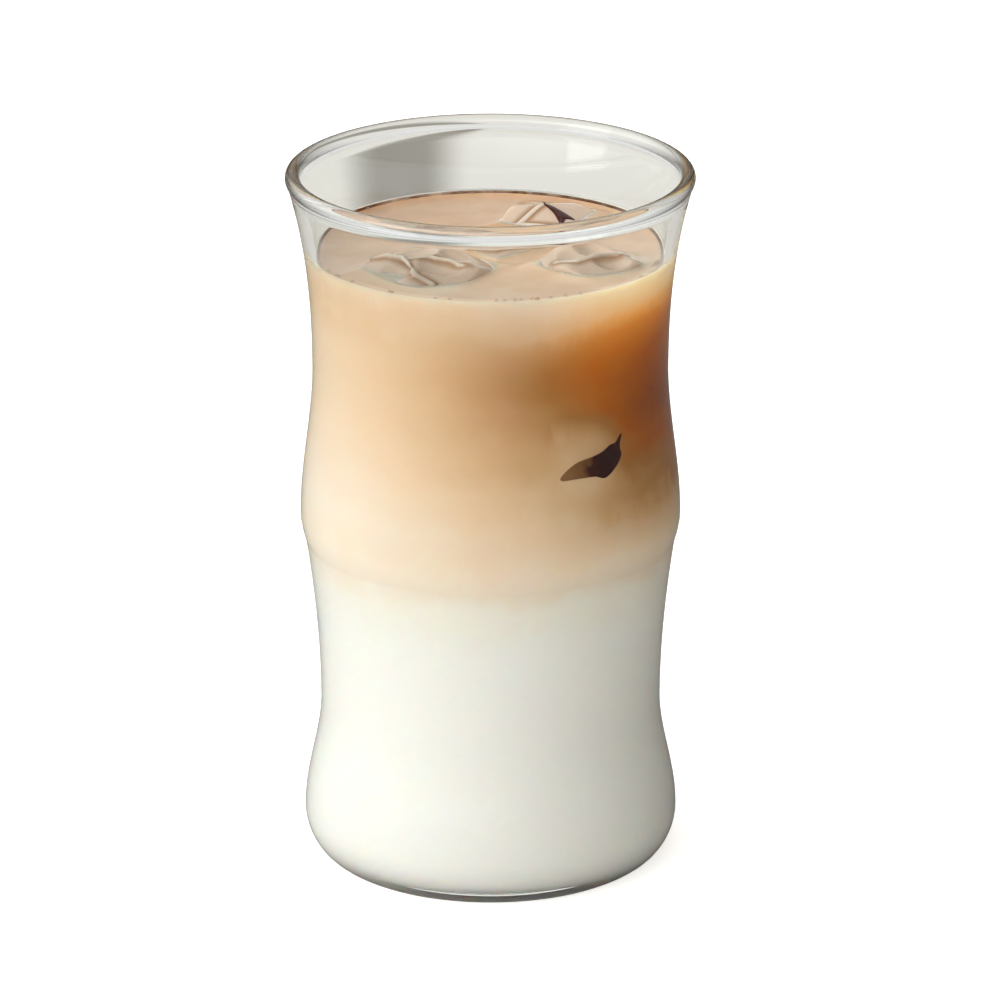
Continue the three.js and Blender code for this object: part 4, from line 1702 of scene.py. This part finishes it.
def floating_ice() -> list[IceBlock]:
    """Describes the floating cubes, as the frame places them, and what the melt has left on each.

    Returns:
        The cubes, from the front left to the middle.
    """
    return [
        IceBlock("ice_cube_front_left", "front_left_ice", side=21.0, turn=238.0, lean_to=250.0, seed=3.1,
                 facets=(Facet(215, 65, 10.5), Facet(285, 66, 11.0), Facet(120, 68, 11.0), Facet(20, 70, 11.0)),
                 dishes=(Dish(2.9, -4.6, 9.0, 2.2), Dish(-4.0, 5.0, 12.0, 1.8), Dish(7.0, 2.4, 8.0, 1.7),
                         Dish(-6.6, -5.2, 7.0, 2.9)),
                 ridges=(Ridge(((-10.4, 3.6, 1.9), (-7.6, 2.0, 0.7), (-4.6, -0.6, 0.3), (-3.2, -4.4, 0.6),
                                (-2.0, -8.2, 1.6), (1.4, -10.8, 2.6))),
                         Ridge(((-4.6, -0.6, 0.6), (0.4, 0.6, 0.4), (4.4, -1.0, 0.7), (7.6, -3.6, 1.8)), 0.4))),
        IceBlock("ice_cube_right", "right_ice", side=16.0, turn=321.0, lean_to=10.0, seed=7.7,
                 facets=(Facet(285, 64, 10.2), Facet(30, 62, 10.4), Facet(190, 66, 10.4)),
                 dishes=(Dish(1.6, 2.4, 7.0, 2.0), Dish(-3.8, -2.0, 8.0, 1.7), Dish(4.6, -4.6, 6.0, 2.4)),
                 ridges=(Ridge(((-6.4, -3.4, 1.8), (-2.6, -4.8, 0.9), (1.0, -2.6, 0.4), (4.6, -0.8, 0.7),
                                (7.4, 1.6, 1.9)), 0.45),)),
        IceBlock("ice_cube_back_right", "back_right_ice", side=15.5, turn=64.0, lean_to=300.0, seed=12.4,
                 facets=(Facet(248, 72, 9.1), Facet(335, 72, 8.9), Facet(100, 70, 9.7)),
                 ridges=(Ridge(((-1.4, 1.8, 0.35), (-6.2, -5.0, 2.6)), 0.3),
                         Ridge(((-6.2, -5.0, 2.6), (2.2, -7.6, 2.35)), 0.3))),
        IceBlock("ice_cube_middle", "middle_ice", side=12.6, turn=40.0, lean_to=280.0, seed=30.2,
                 facets=(Facet(232, 70, 9.6), Facet(312, 70, 9.6), Facet(90, 68, 9.9)),
                 dishes=(Dish(0.2, 2.6, 8.0, 1.8), Dish(-3.4, -3.2, 7.0, 2.2)),
                 ridges=(Ridge(((-6.4, -3.8, 1.7), (-1.0, -6.8, 1.0), (2.4, -4.4, 0.7), (7.0, -1.6, 1.4)),
                               0.5),)),
    ]


def held_ice() -> IceBlock:
    """Describes the cube that is held under the surface, turned so that it lies flat on the glass."""
    return IceBlock("ice_cube_wedged", GLASS_BODY, side=17.5, turn=306.0, lean_to=303.0, softness=1.2,
                    detail=5)


def main() -> None:
    """Builds the glass, its drink and ice, and the studio round them."""
    logging.basicConfig(level=logging.INFO, format="%(name)s: %(message)s")
    _, glass_top = (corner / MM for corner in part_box("tumbler"))
    milk_low, _ = (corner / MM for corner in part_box("milk_layer"))
    _, coffee_top = (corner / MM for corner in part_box("coffee_layer"))
    wall = BambooWall(glass_top.z, glass_top.x, milk_low.z - FILL_GAP)
    tumbler = Tumbler(wall)
    glass = tumbler.build()
    tumbler.dress(glass)
    log.info("tumbler: %d faces", len(glass.data.polygons))

    blocks = floating_ice()
    level = coffee_top.z - EDGE_CLIMB
    drink_body = Drink(wall, level, blocks)
    drink = drink_body.build()
    wet_ice = ClearIce(level).material()
    pieces = []
    for block in blocks:
        ice = block.build()
        pieces.append(ice)
        log.info("%s: %d faces", ice.name, len(ice.data.polygons))
    drink_body.cut_seats(drink, pieces)
    drink_body.dress(drink)
    log.info("drink: %d faces", len(drink.data.polygons))
    for block, ice in zip(blocks, pieces):
        block.dress(ice, wet_ice)

    sliver_run = CoffeeSliver(next(block for block in blocks if block.body == "back_right_ice"))
    sliver = sliver_run.build()
    sliver_run.dress(sliver)
    log.info("coffee sliver: %d faces", len(sliver.data.polygons))

    edge = float(wall.inner(level)) - drink_body.climb_reach / 3
    foam = EdgeBubbles(edge, level + drink_body.wall_climb * drink_body.edge_share,
                       drink_body.climb_swing * drink_body.edge_share)
    bubbles = foam.build()
    foam.dress(bubbles)
    log.info("edge bubbles: %d faces", len(bubbles.data.polygons))

    wedged = WedgedIce(wall, level, held_ice())
    pressed_ice, fleck = wedged.build_ice(), wedged.build_fleck()
    wedged.dress(pressed_ice, fleck)
    log.info("wedged ice and fleck: %d faces", len(pressed_ice.data.polygons) + len(fleck.data.polygons))

    Studio().build(Vector((0.0, 0.0, wall.height / 2)) * MM)
    PhotoCamera().build()


if __name__ == "__main__":
    main()
